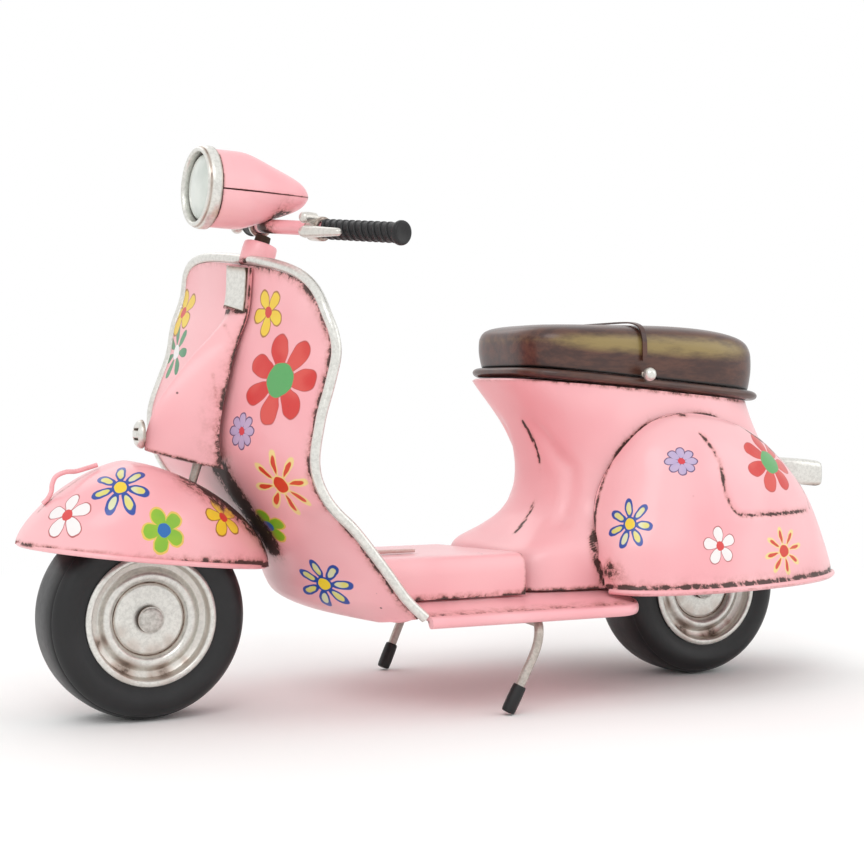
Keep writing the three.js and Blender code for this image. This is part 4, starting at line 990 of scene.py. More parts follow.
def buildCover():
    s = coverSize
    u, v = np.linspace(0, 1, 72)[None, :], np.linspace(0, 1, 170)[:, None]
    grid = coverPoint(u, v)
    flank = 1 - np.abs(2 * u - 1)
    badgeFoot = axleZ + s["top"] - badgeSize["height"] - 0.3
    stainAndShade = np.maximum(0.5 * bell(flank, 0.05) + 0.26 * bell(flank, 0.3), marks(
        *[(distanceTo(grid, smoothLine(scratch, 24)), 0.8, 0.5) for scratch in coverScratches],
        (grid[..., 2] - badgeFoot, 1.1, 0.8), (v, 0.018, 0.7)))
    tin = shell("visHornCover", grid, s["wall"], -1, grime=clamped(stainAndShade))
    fit(tin, "chassis", enamel("coverEnamel"), "horn_cover")


def buildBadge():
    s = badgeSize
    part = s["height"] / (coverSize["top"] - coverSize["bottom"])
    u, v = np.linspace(0, 1, 41)[None, :], np.linspace(0, 1, 60)[:, None]
    lift = s["ridge"] * (1 - np.abs(2 * u - 1)) + s["lift"]
    grid = coverPoint(0.5 + (u - 0.5) * s["width"], 1 - (1 - v) * part, lift)
    edge = np.minimum(np.minimum(u, 1 - u) * 11, v * s["height"])
    stainAndShade = 0.75 * bell(edge, 0.35) + 0.5 * bell(1 - v, 0.1)
    badge = shell("visBadge", grid, s["wall"], -1, grime=clamped(stainAndShade + 0.1))
    fit(badge, "chassis", silver, "shield_badge")


def buildHorn():
    s = hornSize
    low, high = boxOf("horn")
    middle = (low + high) / 2
    radius, height = (high[2] - low[2]) / 2, high[0] - low[0]
    angle = fullTurn(120)
    rings, stains = [], []
    for part in np.r_[1.0, 1.0, np.linspace(0.98, 0.02, 44)]:
        y, z = radius * part * np.cos(angle), radius * part * np.sin(angle)
        out = height * (1 - part ** 3) ** 0.5 if rings else 0
        slit = marks(*[(z / radius - at, s["slit"], np.abs(y) < s["reach"] * radius) for at in s["slits"]])
        rings.append(stack(high[0] - out + s["deep"] * slit * (part < 0.97), middle[1] + y, middle[2] + z))
        stains.append(np.maximum(slit, 0.6 * bell(part - 1, 0.06)))
    fit(skin("visHorn", rings, np.array(stains), 60), "chassis", silver, "horn")


buildShield()
buildCover()
buildBadge()
buildHorn()
print("legshield: done")


# running board, platform and runners
boardSize = {"front": shieldX + 26.9, "end": rearX - 42.5, "half": 49.5, "taper": 14, "tuck": 13,
             "lip": (47.85, -0.65), "lipRadius": 1.62}
boardTop = [(0, 3.7), (16, 3.7), (31, 3.7), (39, 2.35), (46.4, 1.1)]
boardUnder = [(45.9, -0.35), (31, 2.3), (16, 2.3), (0, 2.3)]


def buildBoard():
    s = boardSize
    lip = [(s["lip"][0] + s["lipRadius"] * math.cos(k), s["lip"][1] + s["lipRadius"] * math.sin(k))
           for k in np.linspace(1.75, -2.6, 16)]
    half = np.array(boardTop + lip + boardUnder)
    section = np.vstack([half[:-1], (half * (-1, 1))[::-1][:-1]])
    tail = s["end"] - s["taper"]
    x = np.r_[np.linspace(s["front"], tail, 40), tail + s["taper"] * (
        1 - np.cos(np.linspace(0, math.pi / 2, 26)[1:]))]
    part = clamped((x - tail) / s["taper"])
    wide = (s["half"] - s["tuck"] * part ** 2.4) / s["half"]
    rings = stack(x[:, None], section[:, 0] * wide[:, None], axleZ + section[:, 1])
    run = np.abs(section[:, 0])[None, :]
    near = bell(run - 46.2, 0.5) * 0.62 + bell(run - 34, 0.9) * 0.5
    board = skin("visBoard", rings, clamped(near), 50, "flat")
    fit(board, "chassis", enamel("boardEnamel"), "running_board")


bodyFront = -79.5        # the front of the body's foot, from the rear axle
platformSize = {"half": 33.5, "foot": 4.05, "top": 15.3, "fall": 0.04, "front": 3.4, "wall": 1.0,
                "grooves": (12, 16)}


def buildPlatform():
    s = platformSize
    half, top = s["half"], s["top"]
    corner = rounded([(half, s["foot"]), (half, 7.5), (half, 11.3), (32.3, 14.1), (29.5, top), (23, top)], 3)
    flat = [(y, top) for y in np.linspace(22, 0, 24)]
    right = np.vstack([[(half, s["foot"]), (half, 5.2), (half, 6.4)], corner[corner[:, 1] > 6.9], flat])
    y, z = np.vstack([right, (right[:-1] * (-1, 1))[::-1]]).T
    rise = np.where(z > s["foot"] + 0.01, z - s["fall"] * y, z)
    front, back = shieldPoint(y, z)[:, 0] + s["front"], rearX + bodyFront - clearance
    grid = stack(between(front[None, :], back, np.linspace(0, 1, 60)[:, None]), y, axleZ + rise)
    x, spread, height = grid[..., 0], np.abs(grid[..., 1]), grid[..., 2] - axleZ
    grooves = [(spread - gap, 0.45, 0.8 * (x < -22)) for gap in s["grooves"]]
    stainAndShade = np.maximum(0.7 * bell(height - 4.0, 1.1) + 0.5 * bell(back - x, 0.7), marks(
        (x - front, 1.6, 0.7), *grooves))
    tin = shell("visPlatform", grid, s["wall"], 1, grime=clamped(stainAndShade))
    fit(tin, "chassis", enamel("platformEnamel"), "floor_platform")


buildBoard()
buildPlatform()
# the runner strips take the pale colour of their painted highlight
for side, sign in bothSides:
    runner = softened("runner_" + side, "visRunner_" + side, 0.3)
    fit(runner, "chassis", runnerHighlight, "runner_" + side)
print("floor: done")


# body, cowls and tail light
bodySize = {"half": 30, "bottom": 4.3, "top": 68.2, "middle": -18, "tailSquare": 2.5, "wall": 1.0}
bodyNose = smoothRun([(0, bodyFront), (10.4, -77), (14.8, -71.2), (20.9, -64.4), (28.4, -60.6),
                      (38.4, -60.4), (51.4, -65.1), (63.9, -74.4)])
bodyTail = smoothRun([(0, 50.5), (11.4, 46), (29.4, 38), (40.4, 29.5), (47.4, 22.8), (56.4, 18.2),
                      (63.9, 15.6)])
bodyWide = smoothRun([(0, 1), (16.4, 0.5), (41.4, -0.4), (54.4, -2.4), (63.9, -4)])
noseSquare = smoothRun([(0, 7), (10.4, 6), (16.4, 3.5), (26.4, 2.5), (46.4, 2.5), (63.9, 3.6)])
seatSize = {"half": 26.5, "front": -72, "rear": 16, "rimFront": 70.9, "rimRear": 63, "rim": 1.5,
            "crown": 85.9, "fall": 4, "corner": 0.5, "strap": -34}
flute = {"deep": 1.35, "wide": 3.0, "line": [
    (22.7, -9, 86), (23.7, -12.3, 78.8), (28, -16, 72), (29.6, -17.8, 69.4), (27, -20, 60),
    (24.4, -20.6, 52)]}
crack = {"deep": 0.2, "wide": 0.6, "line": [
    (19.4, -5.7, 84.4), (23.8, -7.7, 73.9), (22.6, -7.2, 65), (21.6, -7.2, 57.1), (14, -10.5, 49.7)]}
# lines drawn on the cowls: the arch over the front half, and the step across the rear half
cowlArch = [
    (33.2, -31.8, 35.2), (30.6, -30.7, 45.4), (33.3, -27.4, 57.1), (36.8, -26.9, 67.2), (43, -27.4, 76.4),
    (50, -28.5, 82.9), (55.9, -31.2, 85.7), (61.9, -30.7, 86.8), (75.3, -27.8, 86), (80.8, -29.8, 84.1),
    (89.6, -30.6, 80.2), (101.7, -27.1, 73.1), (111.6, -25.3, 64.5), (112.9, -30, 55.8)]
cowlStep = [
    (64.2, -38.4, 81.1), (67.6, -42, 74.4), (68.4, -44.7, 66.7), (69.3, -46, 60.6), (72.4, -46.4, 56.5),
    (76.9, -46, 55.6), (109.8, -32.5, 55.4)]


# The seat's lower edge over a place along the body.
def seatRim(dx):
    s = seatSize
    return between(s["rimFront"], s["rimRear"], (dx - s["front"]) / (s["rear"] - s["front"]))


def bodyTop(dx):
    return seatRim(dx) - seatSize["rim"] - 0.7


def bodyGrid(rows=110, columns=330):
    s = bodySize
    angle = np.linspace(0, 2 * math.pi, 6001)
    c, w = np.cos(angle), np.sin(angle)
    lines = []
    for v in np.linspace(0, 1, rows):
        level = v * (s["top"] - s["bottom"])
        power = np.where(c < 0, 2 / noseSquare(level), 2 / s["tailSquare"])
        reach = np.where(c < 0, s["middle"] - bodyNose(level), bodyTail(level) - s["middle"])
        dx = s["middle"] + reach * squared(c, power)
        y = (s["half"] + bodyWide(level)) * squared(w, power)
        z = between(s["bottom"], bodyTop(dx), v)
        lines.append(evenly(stack(rearX + dx, y, axleZ + z), columns, closed=True))
    return np.array(lines)


# How far out the body's side is.
def bodySide(dx, z):
    s = bodySize
    level = (z - s["bottom"]) / (bodyTop(dx) - s["bottom"]) * (s["top"] - s["bottom"])
    front = dx < s["middle"]
    reach = np.where(front, s["middle"] - bodyNose(level), bodyTail(level) - s["middle"])
    t = np.minimum(np.abs(dx - s["middle"]) / reach, 0.99)
    power = np.where(front, noseSquare(level), s["tailSquare"])
    return (s["half"] + bodyWide(level)) * (1 - t ** power) ** (1 / power)


def mirrored(line):
    return np.asarray(line) * (1, -1, 1)


def buildBody():
    s = bodySize
    grid = bodyGrid()
    grid = grid + facingOf(grid, True) * s["wall"]
    facing = facingOf(grid, True)
    line = smoothLine(flute["line"], 60)
    flutes = [distanceTo(grid, side) for side in (line, mirrored(line))]
    split = distanceTo(grid, smoothLine(crack["line"], 60))
    dent = sum(flute["deep"] * bell(gap, flute["wide"]) for gap in flutes) + crack["deep"] * bell(
        split, crack["wide"])
    z = grid[..., 2]
    # the faint wide darkening along each flute is painted shade in its hollow
    stainAndShade = np.maximum(1.12 * bell(split, 0.5) + 0.2 * bell(split, 2), marks(
        *[(gap, 3, 0.12) for gap in flutes], (axleZ + bodyTop(grid[..., 0] - rearX) - z, 1.0, 0.55),
        (z - axleZ - s["bottom"], 1.1, 0.7)))
    for line in (cowlArch, mirrored(cowlArch)):
        gap = distanceTo(grid, smoothLine(line))
        stainAndShade = np.maximum(stainAndShade, 1.1 * bell(gap, 0.8) + 0.3 * bell(gap, 2.6))
    tin = shell("visBody", grid - facing * dent[..., None], s["wall"], 1, ring=True, grime=stainAndShade)
    fit(tin, "chassis", enamel("bodyEnamel"), "body_shell")


cowlSize = {"middle": -21.5, "front": 32, "rear": 67, "bottom": 4.3, "height": 52.7, "bulge": 15.5,
            "gap": 2.35, "lip": 1.8, "wall": 1.0, "rim": 0.8}
# places on the left cowl; the right cowl has them mirrored
cowlChips = [((61.9, -32.5, 86.3), (61.2, -32.5, 86.2), 1.4, 1.0),
             ((31.8, -38.1, 39.9), (34, -39.5, 38.5), 3.2, 0.8)]
cowlPrints = [
    ("lilac", (54.7, -42, 72.7), (5.0, 4.2), 0),
    ("blue", (37.8, -39.8, 53.8), (5.9, 7.0), 10),
    ("white", (64.5, -48.8, 46.8), (6.0, 5.8), 6),
    ("poppy", (92.2, -36.3, 71.6), (13.5, 10.4), 0),
    ("sun", (92.7, -43.3, 43.7), (8.4, 6.6), 10),
]


def cowlGrid(sign, rows=110, columns=180):
    s = cowlSize
    t = -np.cos(np.linspace(0.14, math.pi - 0.14, columns))[None, :]
    v = np.linspace(0, 1, rows)[:, None]
    front = t < 0
    dx = s["middle"] + t * np.where(front, s["front"], s["rear"])
    height = s["height"] * np.where(front, swell(t, 2.2), swell(t, 1.8))
    bulge = s["bulge"] * np.where(front, swell(t, 2.4), swell(t, 1.25))
    z = s["bottom"] + height * np.cos(v * math.pi / 2)
    lip = s["lip"] * clamped((v - 0.965) / 0.035) ** 1.6
    y = bodySide(dx + 0 * v, z) + s["gap"] + bulge * np.sin(v * math.pi / 2) + lip
    return stack(rearX + dx, sign * y, axleZ + z - 0.3 * lip)


def buildCowl(name, sign):
    s = cowlSize
    inside = cowlGrid(sign)
    # the rims stay as wide as the tin
    low = np.linspace(0, 1, len(inside))[:, None, None]
    grid = between(inside + sign * facingOf(inside) * s["wall"], inside + (0, sign * s["wall"], 0),
                   clamped((low - 0.9) * 10))
    mirror = np.array([1, -sign, 1])
    gap = distanceTo(grid * (1, 0, 1), smoothLine(np.array(cowlStep) * (1, 0, 1), 160))
    arch = distanceTo(grid, smoothLine(cowlArch * mirror, 120))
    chips = [(distanceTo(grid, np.array([a, b]) * mirror), wide, strong) for a, b, wide, strong in cowlChips]
    above = grid[..., 2] - axleZ - s["bottom"]
    stainAndShade = np.maximum(0.85 * bell(gap, 0.42) + 0.22 * bell(gap, 2.2),
                       0.7 * bell(above - 1.2, 0.8) + 0.3 * bell(above, 4.5))
    stainAndShade = np.maximum(stainAndShade, marks((low[..., 0], 0.014, 1.2), (arch, 0.8, 0.9), *chips))
    grid = grid - sign * facingOf(grid) * (0.35 * bell(gap, 0.8))[..., None]
    tin = shell("visCowlTin_" + name, grid, s["wall"], sign, grime=stainAndShade)
    rim = smoothLine(inside[-1] + (0, -sign * 0.05, 0.35), 140)
    edge = wire("visCowlRim_" + name, rim, s["rim"], plainPink, grime=0.12)
    prints = [(kind, tuple(spot * mirror), name, size, spin + 40 * (sign > 0))
              for kind, spot, size, spin in cowlPrints]
    paint = enamel("cowlEnamel_" + name, tin, prints)
    fit(joined("visCowl_" + name, tin, edge), "chassis", paint, "cowl_" + name)


tailSize = {"narrow": 4.3, "wide": 6.0, "corner": 0.42, "droop": 1.8, "rise": 3.0}


def buildTail():
    s = tailSize
    low, high = boxOf("tail_light")
    front, back = low[0], high[0]
    x = np.r_[front + 0.3, np.linspace(front + 1, back - 2, 30), back - 1.2, back - 0.5, back - 0.1]
    angle = fullTurn(80)
    part = ((x - front) / (back - front))[:, None]
    half = between(s["narrow"], s["wide"], clamped((part - 0.25) / 0.3) ** 0.7)
    top, bottom = high[2] - s["droop"] * part ** 2, low[2] + s["rise"] * (1 - part)
    close = 1 - 0.35 * clamped((part - 0.93) / 0.07) ** 2
    rings = stack(x[:, None], half * close * squared(np.cos(angle), s["corner"]),
                  (top + bottom) / 2 + (top - bottom) / 2 * close * squared(np.sin(angle), s["corner"]))
    under = clamped((low[2] + 2.0 - rings[..., 2]) / 2)
    near = bell(rings[..., 0] - front - 3.5, 2.5)
    tail = skin("visTailLight", rings, clamped(0.8 * under + 0.8 * near + 0.1), 50)
    fit(tail, "chassis", silver, "tail_light")


buildBody()
for side, sign in bothSides:
    buildCowl(side, sign)
buildTail()
print("body: done")


# seat
seatMiddle = (seatSize["front"] + seatSize["rear"]) / 2
# a ring's inset from the seat's outline, and its height from the rim, 0, to the crown, 1
seatSteps = rounded([
    (1.2, 0), (1.0, 0.02), (0.3, 0.3), (0.2, 0.5), (0.4, 0.72), (2.0, 0.9), (6.5, 0.985), (12, 1), (18, 1.0),
    (23, 1.0), (26, 1.0)], 3)
# the painted highlight: an olive gold band around the cover's side
highlightBand = {"at": 0.62, "wide": 0.34}    # the gold band around the cover, from the rim, 0, to the crown, 1
strapSize = {"out": 0.7, "width": 1.6, "rise": 0.6, "wall": 0.5}
knobSize = {"out": 3.6, "rise": 2.6, "ball": 2.1, "stem": 0.82, "thread": 0.16}


def seatRing(inset, height, count=200):
    s = seatSize
    angle = np.linspace(0, 2 * math.pi, 4001)
    dx = seatMiddle + ((s["rear"] - s["front"]) / 2 - inset) * squared(np.cos(angle), s["corner"])
    y = (s["half"] - inset) * squared(np.sin(angle), s["corner"])
    return evenly(stack(rearX + dx, y, axleZ + height(dx)), count, closed=True)


def seatLevel(dx, part):
    s = seatSize
    behind = np.clip((dx - seatMiddle) / (s["rear"] - seatMiddle), 0, None)
    return between(seatRim(dx) + s["rim"] + clearance, s["crown"] - s["fall"] * behind ** 2.2, part)


def buildSeat():
    s = seatSize
    loop = [(0.4 - 1.9 * math.cos(k), 1.5 * math.sin(k)) for k in np.linspace(-math.pi / 2, math.pi / 2, 14)]
    loop += [(3.4, 1.5), (6, 1.2), (6, -1.2), (3.4, -1.5)]
    rings = [seatRing(inset, lambda dx: seatRim(dx) + dz) for inset, dz in loop]
    stainAndShade = np.array([[0.05 + 0.9 * (dz > 1.2)] for _, dz in loop])
    base = skin("visSeatBase", rings, stainAndShade, ends="loop", paint=0.0)
    fit(base, "chassis", leatherTin, "seat_base")

    rings = np.array([seatRing(inset, lambda dx: seatLevel(dx, part)) for inset, part in seatSteps])
    part = seatSteps[:, 1:]
    strapLine = np.abs(rings[..., 0] - rearX - s["strap"])
    stainAndShade = np.maximum(0.95 * bell(part, 0.05) + 0.35 * bell(part - 0.93, 0.05),
                       0.3 * bell(strapLine - 1.0, 0.35))
    cover = skin("visSeatCover", rings, clamped(stainAndShade), 50)
    x, y, z = np.array([v.co for v in cover.data.vertices]).T / mm
    base, crown = axleZ + seatRim(x - rearX) + 1.85, axleZ + s["crown"]
    high = (z - base) / (crown - base)
    flat = clamped((s["half"] - np.abs(y)) / 5)
    # on the seat cover the paint value is the painted highlight, weaker away from the left and right sides
    band = clamped(1 - np.abs(high - highlightBand["at"]) / highlightBand["wide"])
    paintOn(cover.data, paint=band * (1 - 0.6 * flat))
    fit(cover, "chassis", leatherTin, "seat_cover")


def buildStrap():
    s = strapSize
    out = seatSize["half"] + s["out"]
    half = [(out - 0.2, 0.3), (out - 0.2, 0.55), (out - 0.4, 0.72), (out - 2, 0.9), (out - 6.6, 0.985),
            (out - 13, 1), (out - 20, 1)]
    y, part = rounded([(-y, part) for y, part in half] + [(0, 1.0)] + half[::-1]).T
    z = seatLevel(seatSize["strap"], part) + s["rise"] * clamped((part - 0.72) / 0.18)
    x = rearX + seatSize["strap"] + s["width"] * np.linspace(-0.5, 0.5, 7)
    grid = stack(x[:, None], y, axleZ + z)
    band = shell("visStrap", grid - facingOf(grid) * 0.45, s["wall"], -1, grime=0.2)
    paintOn(band.data, paint=0.0)
    fit(band, "chassis", leatherTin, "seat_strap")


def buildKnob(side, sign):
    s = knobSize
    x, level = rearX + seatSize["strap"], axleZ + seatRim(seatSize["strap"]) + s["rise"]
    ball = [(s["ball"] * math.sin(k), -s["ball"] * math.cos(k)) for k in np.linspace(0, math.pi, 20)]
    head = turned("visKnobBall", ball, (x, sign * (seatSize["half"] + s["out"]), level), (0, sign, 0), 40,
                  lambda r, d: 0.7 * bell(d + s["ball"], 0.9))
    y = np.linspace(seatSize["half"] + clearance, seatSize["half"] + 3.0, 56)
    thread = 1 + s["thread"] * np.sin(np.arange(56) * 2 * math.pi / 8)
    stem = wire("visKnobStem", stack(x, sign * y, level), s["stem"], silver, thickness=thread, grime=0.55)
    fit(joined("visKnob_" + side, head, stem), "chassis", silver, "seat_knob_" + side)


buildSeat()
buildStrap()
for side, sign in bothSides:
    buildKnob(side, sign)
print("seat: done")


# handlebar, grips, levers and headlight
barSize = {"radius": 2.1, "left": 56.6, "right": 54.3, "sweep": 18.5, "turn": 3.5, "tilt": 4.9}
gripSize = {"start": 25.8, "core": 2.75, "flange": 3.5, "ribs": 11, "rib": 0.5, "lean": 24}
leverSize = {"at": 22.3, "ahead": 7.0, "lug": 2.9, "length": 16.4, "thick": 1.9}
barMiddle = steerFoot + steerUp * barRise
barTurn = np.array(Matrix.Rotation(math.radians(barSize["turn"]), 3, Vector(steerUp))
                   @ Matrix.Rotation(math.radians(barSize["tilt"]), 3, "X"))


# A place on the bar: out along it, ahead of it and above it.
def onBar(sign, out, ahead=0.0, above=0.0):
    k = math.radians(barSize["sweep"])
    local = (out * math.sin(k) - ahead * math.cos(k), sign * (out * math.cos(k) + ahead * math.sin(k)), above)
    return barMiddle + barTurn @ np.array(local)


def buildBar():
    s = barSize
    left, right = s["left"] - 2, s["right"] - 2
    line = smoothLine([onBar(-1, left), onBar(-1, left / 2), onBar(-1, 10), onBar(1, 0), onBar(1, 10),
                       onBar(1, right / 2), onBar(1, right)], 120)
    rod = wire("visBar", line, s["radius"], plainPink, sides=24, grime=0.1)
    soilAndShade(rod, (barMiddle, 6.5, 0.95), *[(onBar(sign, 19.4), 1.6, 0.7) for _, sign in bothSides])
    fit(rod, "front_end", plainPink, "handlebar")
    for side, sign in bothSides:
        way = onBar(sign, 2) - onBar(sign, 1)
        buildGrip(side, sign, way)
        buildLever(side, sign, way)


def buildGrip(side, sign, way):
    s, end = gripSize, barSize[side]
    start, core, flange = s["start"], s["core"], s["flange"]
    sleeve = turned("visGripCore", rounded([
        (0, start), (2.6, start), (core, start + 0.4), (core, end - 2.4), (3.1, end - 2.0),
        (flange, end - 1.6), (flange, end - 0.6), (3.1, end), (2.2, end - 0.1), (0, end - 0.5)], 1),
        barMiddle, way)
    path = [onBar(sign, out) for out in np.linspace(27.2, end - 4.2, 24)]
    ribs = grown("visGripRibs", path, ribNodes, {
        "Ribs": s["ribs"], "Ring": core * mm, "Rib": s["rib"] * mm, "Lean": (math.radians(s["lean"]), 0, 0),
        "Material": gripRubber}, grime=0.1)
    fit(joined("visGrip_" + side, sleeve, ribs), "front_end", gripRubber, "grip_" + side)


def buildLever(side, sign, way):
    s = leverSize
    at, lug = s["at"], s["lug"]
    ring = turned("visClamp", rounded([
        (2.45, -2.6), (3.2, -2.6), (3.6, -2.2), (3.6, 2.2), (3.2, 2.6), (2.45, 2.6)], 1, closed=True),
        onBar(sign, at), way, 56, lambda r, d: 0.6 if abs(d) > 2.2 else 0.2, ends="loop")
    spots = [onBar(sign, at, 1.6, lug), onBar(sign, at, 4.2, lug + 0.2), onBar(sign, at, s["ahead"], lug)]
    ear = skinAlong("visEar", smoothLine(spots, 24), np.r_[np.full(20, 1.6), 1.5, 1.3, 1.0, 0.4])
    fit(joined("visLeverBracket_" + side, ring, ear), "front_end", silver, "lever_bracket_" + side)
    pivot = onBar(sign, at, s["ahead"], lug - 1.7 - clearance - s["thick"])
    tip = onBar(sign, at + s["length"], s["ahead"], -0.6)
    t = np.linspace(0, 1, 60)

    def roundEnd(away):
        return np.sqrt(np.clip(1 - away ** 2, 0.02, 1))
    size = s["thick"] * np.where(t < 0.16, roundEnd((t - 0.16) / 0.17), between(0.98, 0.6, (t - 0.16) / 0.84))
    size = size * np.where(t > 0.93, roundEnd((t - 0.93) / 0.075), 1)
    blade = skinAlong("visLever_" + side, pivot + np.outer(t, tip - pivot), size, 0.95)
    fit(blade, side + "_lever", silver, "lever_" + side)


lampSize = {"ahead": 22.6, "above": 10.4, "nose": 2.1, "wall": 0.9, "seam": 0.02}
lampOutline = rounded([
    (11.4, 4), (11.4, 9), (11.4, 12.5), (11.0, 15), (9.7, 18.8), (8.2, 22.6), (6.8, 26.4), (5.2, 30.4),
    (3.6, 33.4), (1.4, 35.3), (0.3, 35.7)])
lampRing = rounded([
    (10.0, 2.4), (10.0, 0.4), (10.3, -0.4), (10.9, -0.6), (11.4, -0.3), (11.6, 0.35), (11.9, 0.7),
    (12.14, 1.5), (12.14, 3.2), (12.0, 3.65), (10.0, 3.65)], closed=True)
lampLens = rounded([
    (0, 0.1), (3, 0.18), (5.6, 0.4), (7.6, 0.75), (8.8, 1.2), (9.4, 1.7), (9.6, 2.2), (9.6, 3), (0, 3)])
lampPlace = barMiddle + barTurn @ np.array([-lampSize["ahead"], 0, lampSize["above"]])
lampTurn = barTurn @ np.array(Matrix.Rotation(math.radians(lampSize["nose"]), 3, "Y")
                              @ Matrix.Rotation(-math.pi / 2, 3, "Z"))


def buildLamp():
    s = lampSize
    r, y, _ = smoothLine(np.c_[lampOutline, np.zeros(len(lampOutline))], 110).T[..., None]
    for name, start in (("upper", 0.0), ("lower", math.pi)):
        angle = np.linspace(start + s["seam"], start + math.pi - s["seam"], 90)
        grid = stack(r * np.cos(angle), y, r * np.sin(angle))
        crease = 0.62 * bell(grid[..., 2], 0.35) * clamped((y - 5) / 3)
        stainAndShade = crease + 0.6 * bell(y - 4, 0.4) + 0.12 * bell(y - 7.6, 0.4)
        grid = grid @ lampTurn.T + lampPlace
        side = 1 if facingOf(grid)[10, 45] @ (grid[10, 45] - grid[10].mean(0)) > 0 else -1
        half = shell("visLamp_" + name, grid, s["wall"], side, grime=clamped(stainAndShade))
        soilAndShade(half, *[(barMiddle + (3, out, 3), 5.0, 0.8) for out in (-4, 4)])
        fit(half, "front_end", enamel("lampEnamel_" + name), "headlight_" + name)
    way = lampTurn @ np.array([0, 1, 0])
    ring = turned("visLampRing", lampRing, lampPlace, way, 160,
                  lambda r, d: 0.55 * bell(r - 11.6, 0.22) + (0.5 if d > 3 else 0.05), ends="loop")
    fit(ring, "front_end", silver, "headlight_ring")
    lens = turned("visLens", lampLens, lampPlace, way, 120, lambda r, d: 0.9 * bell(r - 9.6, 0.35))
    fit(lens, "front_end", lensLook, "headlight_lens")


buildBar()
buildLamp()
print("handlebar: done")


# stand and key
standSize = {"radius": 1.38, "x": rearX - 81.5, "height": axleZ - 2.9, "half": 46, "foot": 44.6, "reach": 9.9}
standTip = rounded([
    (0, -1.0), (1.7, -1.0), (2.05, -0.5), (2.1, 4), (2.0, 7.2), (1.8, 7.6), (1.5, 7.6), (0, 7.4)])


def standLeg(sign):
    x, height, half, foot, reach = [standSize[key] for key in ("x", "height", "half", "foot", "reach")]
    return [(x - reach, sign * foot, 1.7), (x - 0.48 * reach, sign * (half - 0.4), 0.47 * height),
            (x - 0.16 * reach, sign * half, height - 7), (x - 0.5, sign * (half - 0.5), height - 2),
            (x, sign * (half - 4), height)]


def buildStand():
    s = standSize
    line = standLeg(-1) + [(s["x"], y, s["height"]) for y in (-12, 12)] + standLeg(1)[::-1]
    fit(wire("visStand", smoothLine(line, 220), s["radius"], silver, sides=20, grime=0.3), "stand",
        dullSilver, "centre_stand")
    for side, sign in bothSides:
        foot, knee = np.array(standLeg(sign)[:2])
        fit(turned("visStandTip_" + side, standTip, foot, knee - foot, 40), "stand", gripRubber,
            "stand_tip_" + side)
    fit(softened("stand_bracket", "visStandBracket", 0.25), "chassis", steel, "stand_bracket")
    fit(softened("winding_key", "visKey", 0.3, 35), "winding", brass, "winding_key")


buildStand()

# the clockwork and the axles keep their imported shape, under their own metals
metals = [
    (steel, ["front_wheel_drum", "front_axle", "rear_wheel_drum", "rear_axle", "middle_pinion",
             "middle_arbor", "winding_arbor", "mainspring"]),
    (brass, ["axle_pinion", "middle_wheel", "great_wheel", "motor_plate_inner", "motor_plate_outer"]),
]
for material, nodes in metals:
    for node in nodes:
        dress(bpy.data.objects[node], material)
print("stand and clockwork: done")


# camera, floor and light
cameraSettings = {"lens": 70.902, "shift": 0.0058, "place": (-239.9, -479.0, 94.07), "down": 1.369,
                  "round": -25.49}
skyStrength = 0.97
# each lamp's place, what it points at, its size and its power
lamps = {
    "key": ((-0.55, -0.9, 1.0), (0, 0, 0.07), 0.7, 3.2),
    "fill": ((0.9, -0.6, 0.55), (0.03, 0, 0.07), 0.8, 1.3),
    "rim": ((-0.1, 0.9, 0.9), (0, 0, 0.08), 0.7, 1.0),
}
plainWhite = (1, 1, 1, 1)


def addCamera():
    s = cameraSettings
    data = bpy.data.cameras.new("camera")
    data.lens, data.sensor_width, data.shift_x = s["lens"], 36, s["shift"]
    data.clip_start, data.clip_end = 0.01, 20
    camera = shown("camera", data)
    camera.location = Vector(s["place"]) * mm
    camera.rotation_euler = (math.radians(90 - s["down"]), 0, math.radians(s["round"]))
    bpy.context.scene.camera = camera


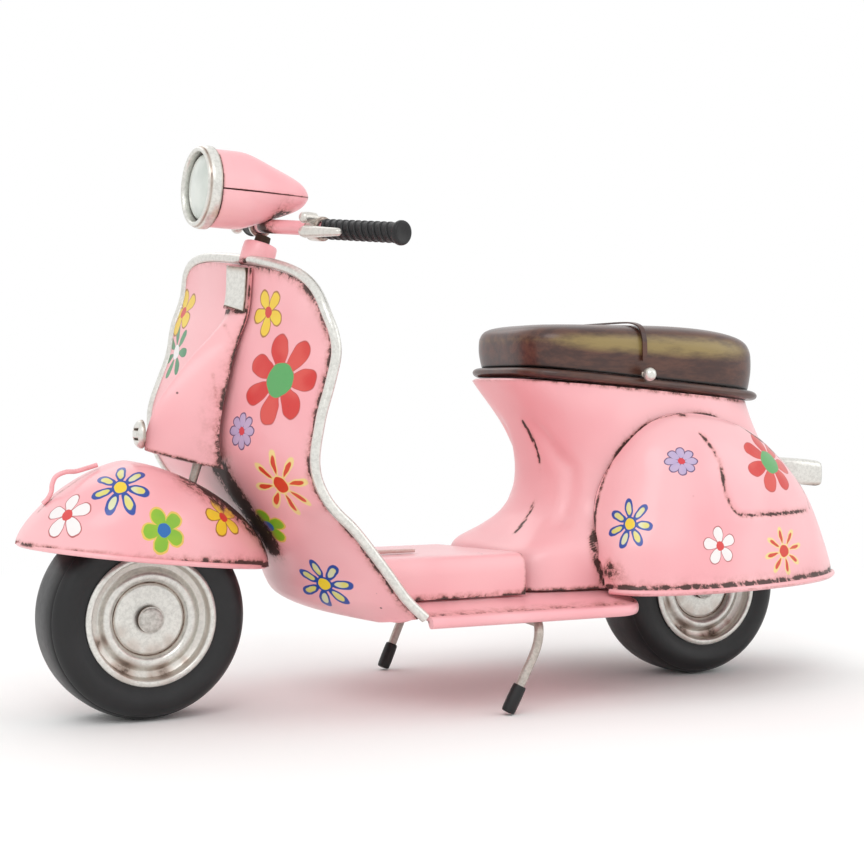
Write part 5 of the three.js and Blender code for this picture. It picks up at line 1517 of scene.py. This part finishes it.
def addLamp(name, place, target, size, power):
    data = bpy.data.lights.new(name, "AREA")
    data.shape, data.size, data.energy = "DISK", size, power
    lamp = shown(name, data)
    lamp.location = place
    lamp.rotation_euler = (Vector(target) - Vector(place)).to_track_quat("-Z", "Y").to_euler()


# Where a ray comes straight from the camera, or by way of something that mirrors or lets through.
def seenIn(tree):
    ray = put(tree, "ShaderNodeLightPath").outputs
    return larger(ray["Is Camera Ray"], larger(ray["Is Glossy Ray"], ray["Is Transmission Ray"]))


def addFloor(count=24, half=3.0):
    mesh = bpy.data.meshes.new("floor")
    line = np.linspace(-half, half, count)
    index = np.arange(count * count).reshape(count, count)
    faces = quadsOf(index[:, :-1], index[:, 1:]).tolist()
    mesh.from_pydata([(x, y, 0) for y in line for x in line], [], faces)
    floor = shown("floor", mesh)
    material, place = newMaterial("floorPaper")
    tree = material.node_tree
    tint = blend(noise(place, 12), colour(250, 249, 248), colour(254, 254, 253))
    paper = link(tree.nodes["Principled BSDF"], {
        "Base Color": tint, "Roughness": 0.9, "Specular IOR Level": 0.1})
    # far from the object the paper runs into the white behind it
    away = put(tree, "ShaderNodeVectorMath", {0: place}, operation="LENGTH").outputs["Value"]
    white = put(tree, "ShaderNodeEmission", {"Color": plainWhite, "Strength": 1.0})
    mix = put(tree, "ShaderNodeMixShader", {0: seenIn(tree) * step(away, 0.2, 0.42), 1: paper, 2: white})
    link(tree.nodes["Material Output"], {"Surface": mix})
    dress(floor, material)


def addSky():
    world = bpy.data.worlds.new("studio")
    bpy.context.scene.world = world
    world.use_nodes = True
    tree = world.node_tree
    tree.nodes.clear()
    plain, white = [put(tree, "ShaderNodeBackground", {"Color": plainWhite, "Strength": strength})
                    for strength in (skyStrength, 1.0)]
    mix = put(tree, "ShaderNodeMixShader", {0: seenIn(tree), 1: plain, 2: white})
    put(tree, "ShaderNodeOutputWorld", {"Surface": mix})


addCamera()
addFloor()
addSky()
for name, settings in lamps.items():
    addLamp(name, *settings)
bpy.context.scene.view_settings.view_transform = "Standard"
print("light: done")
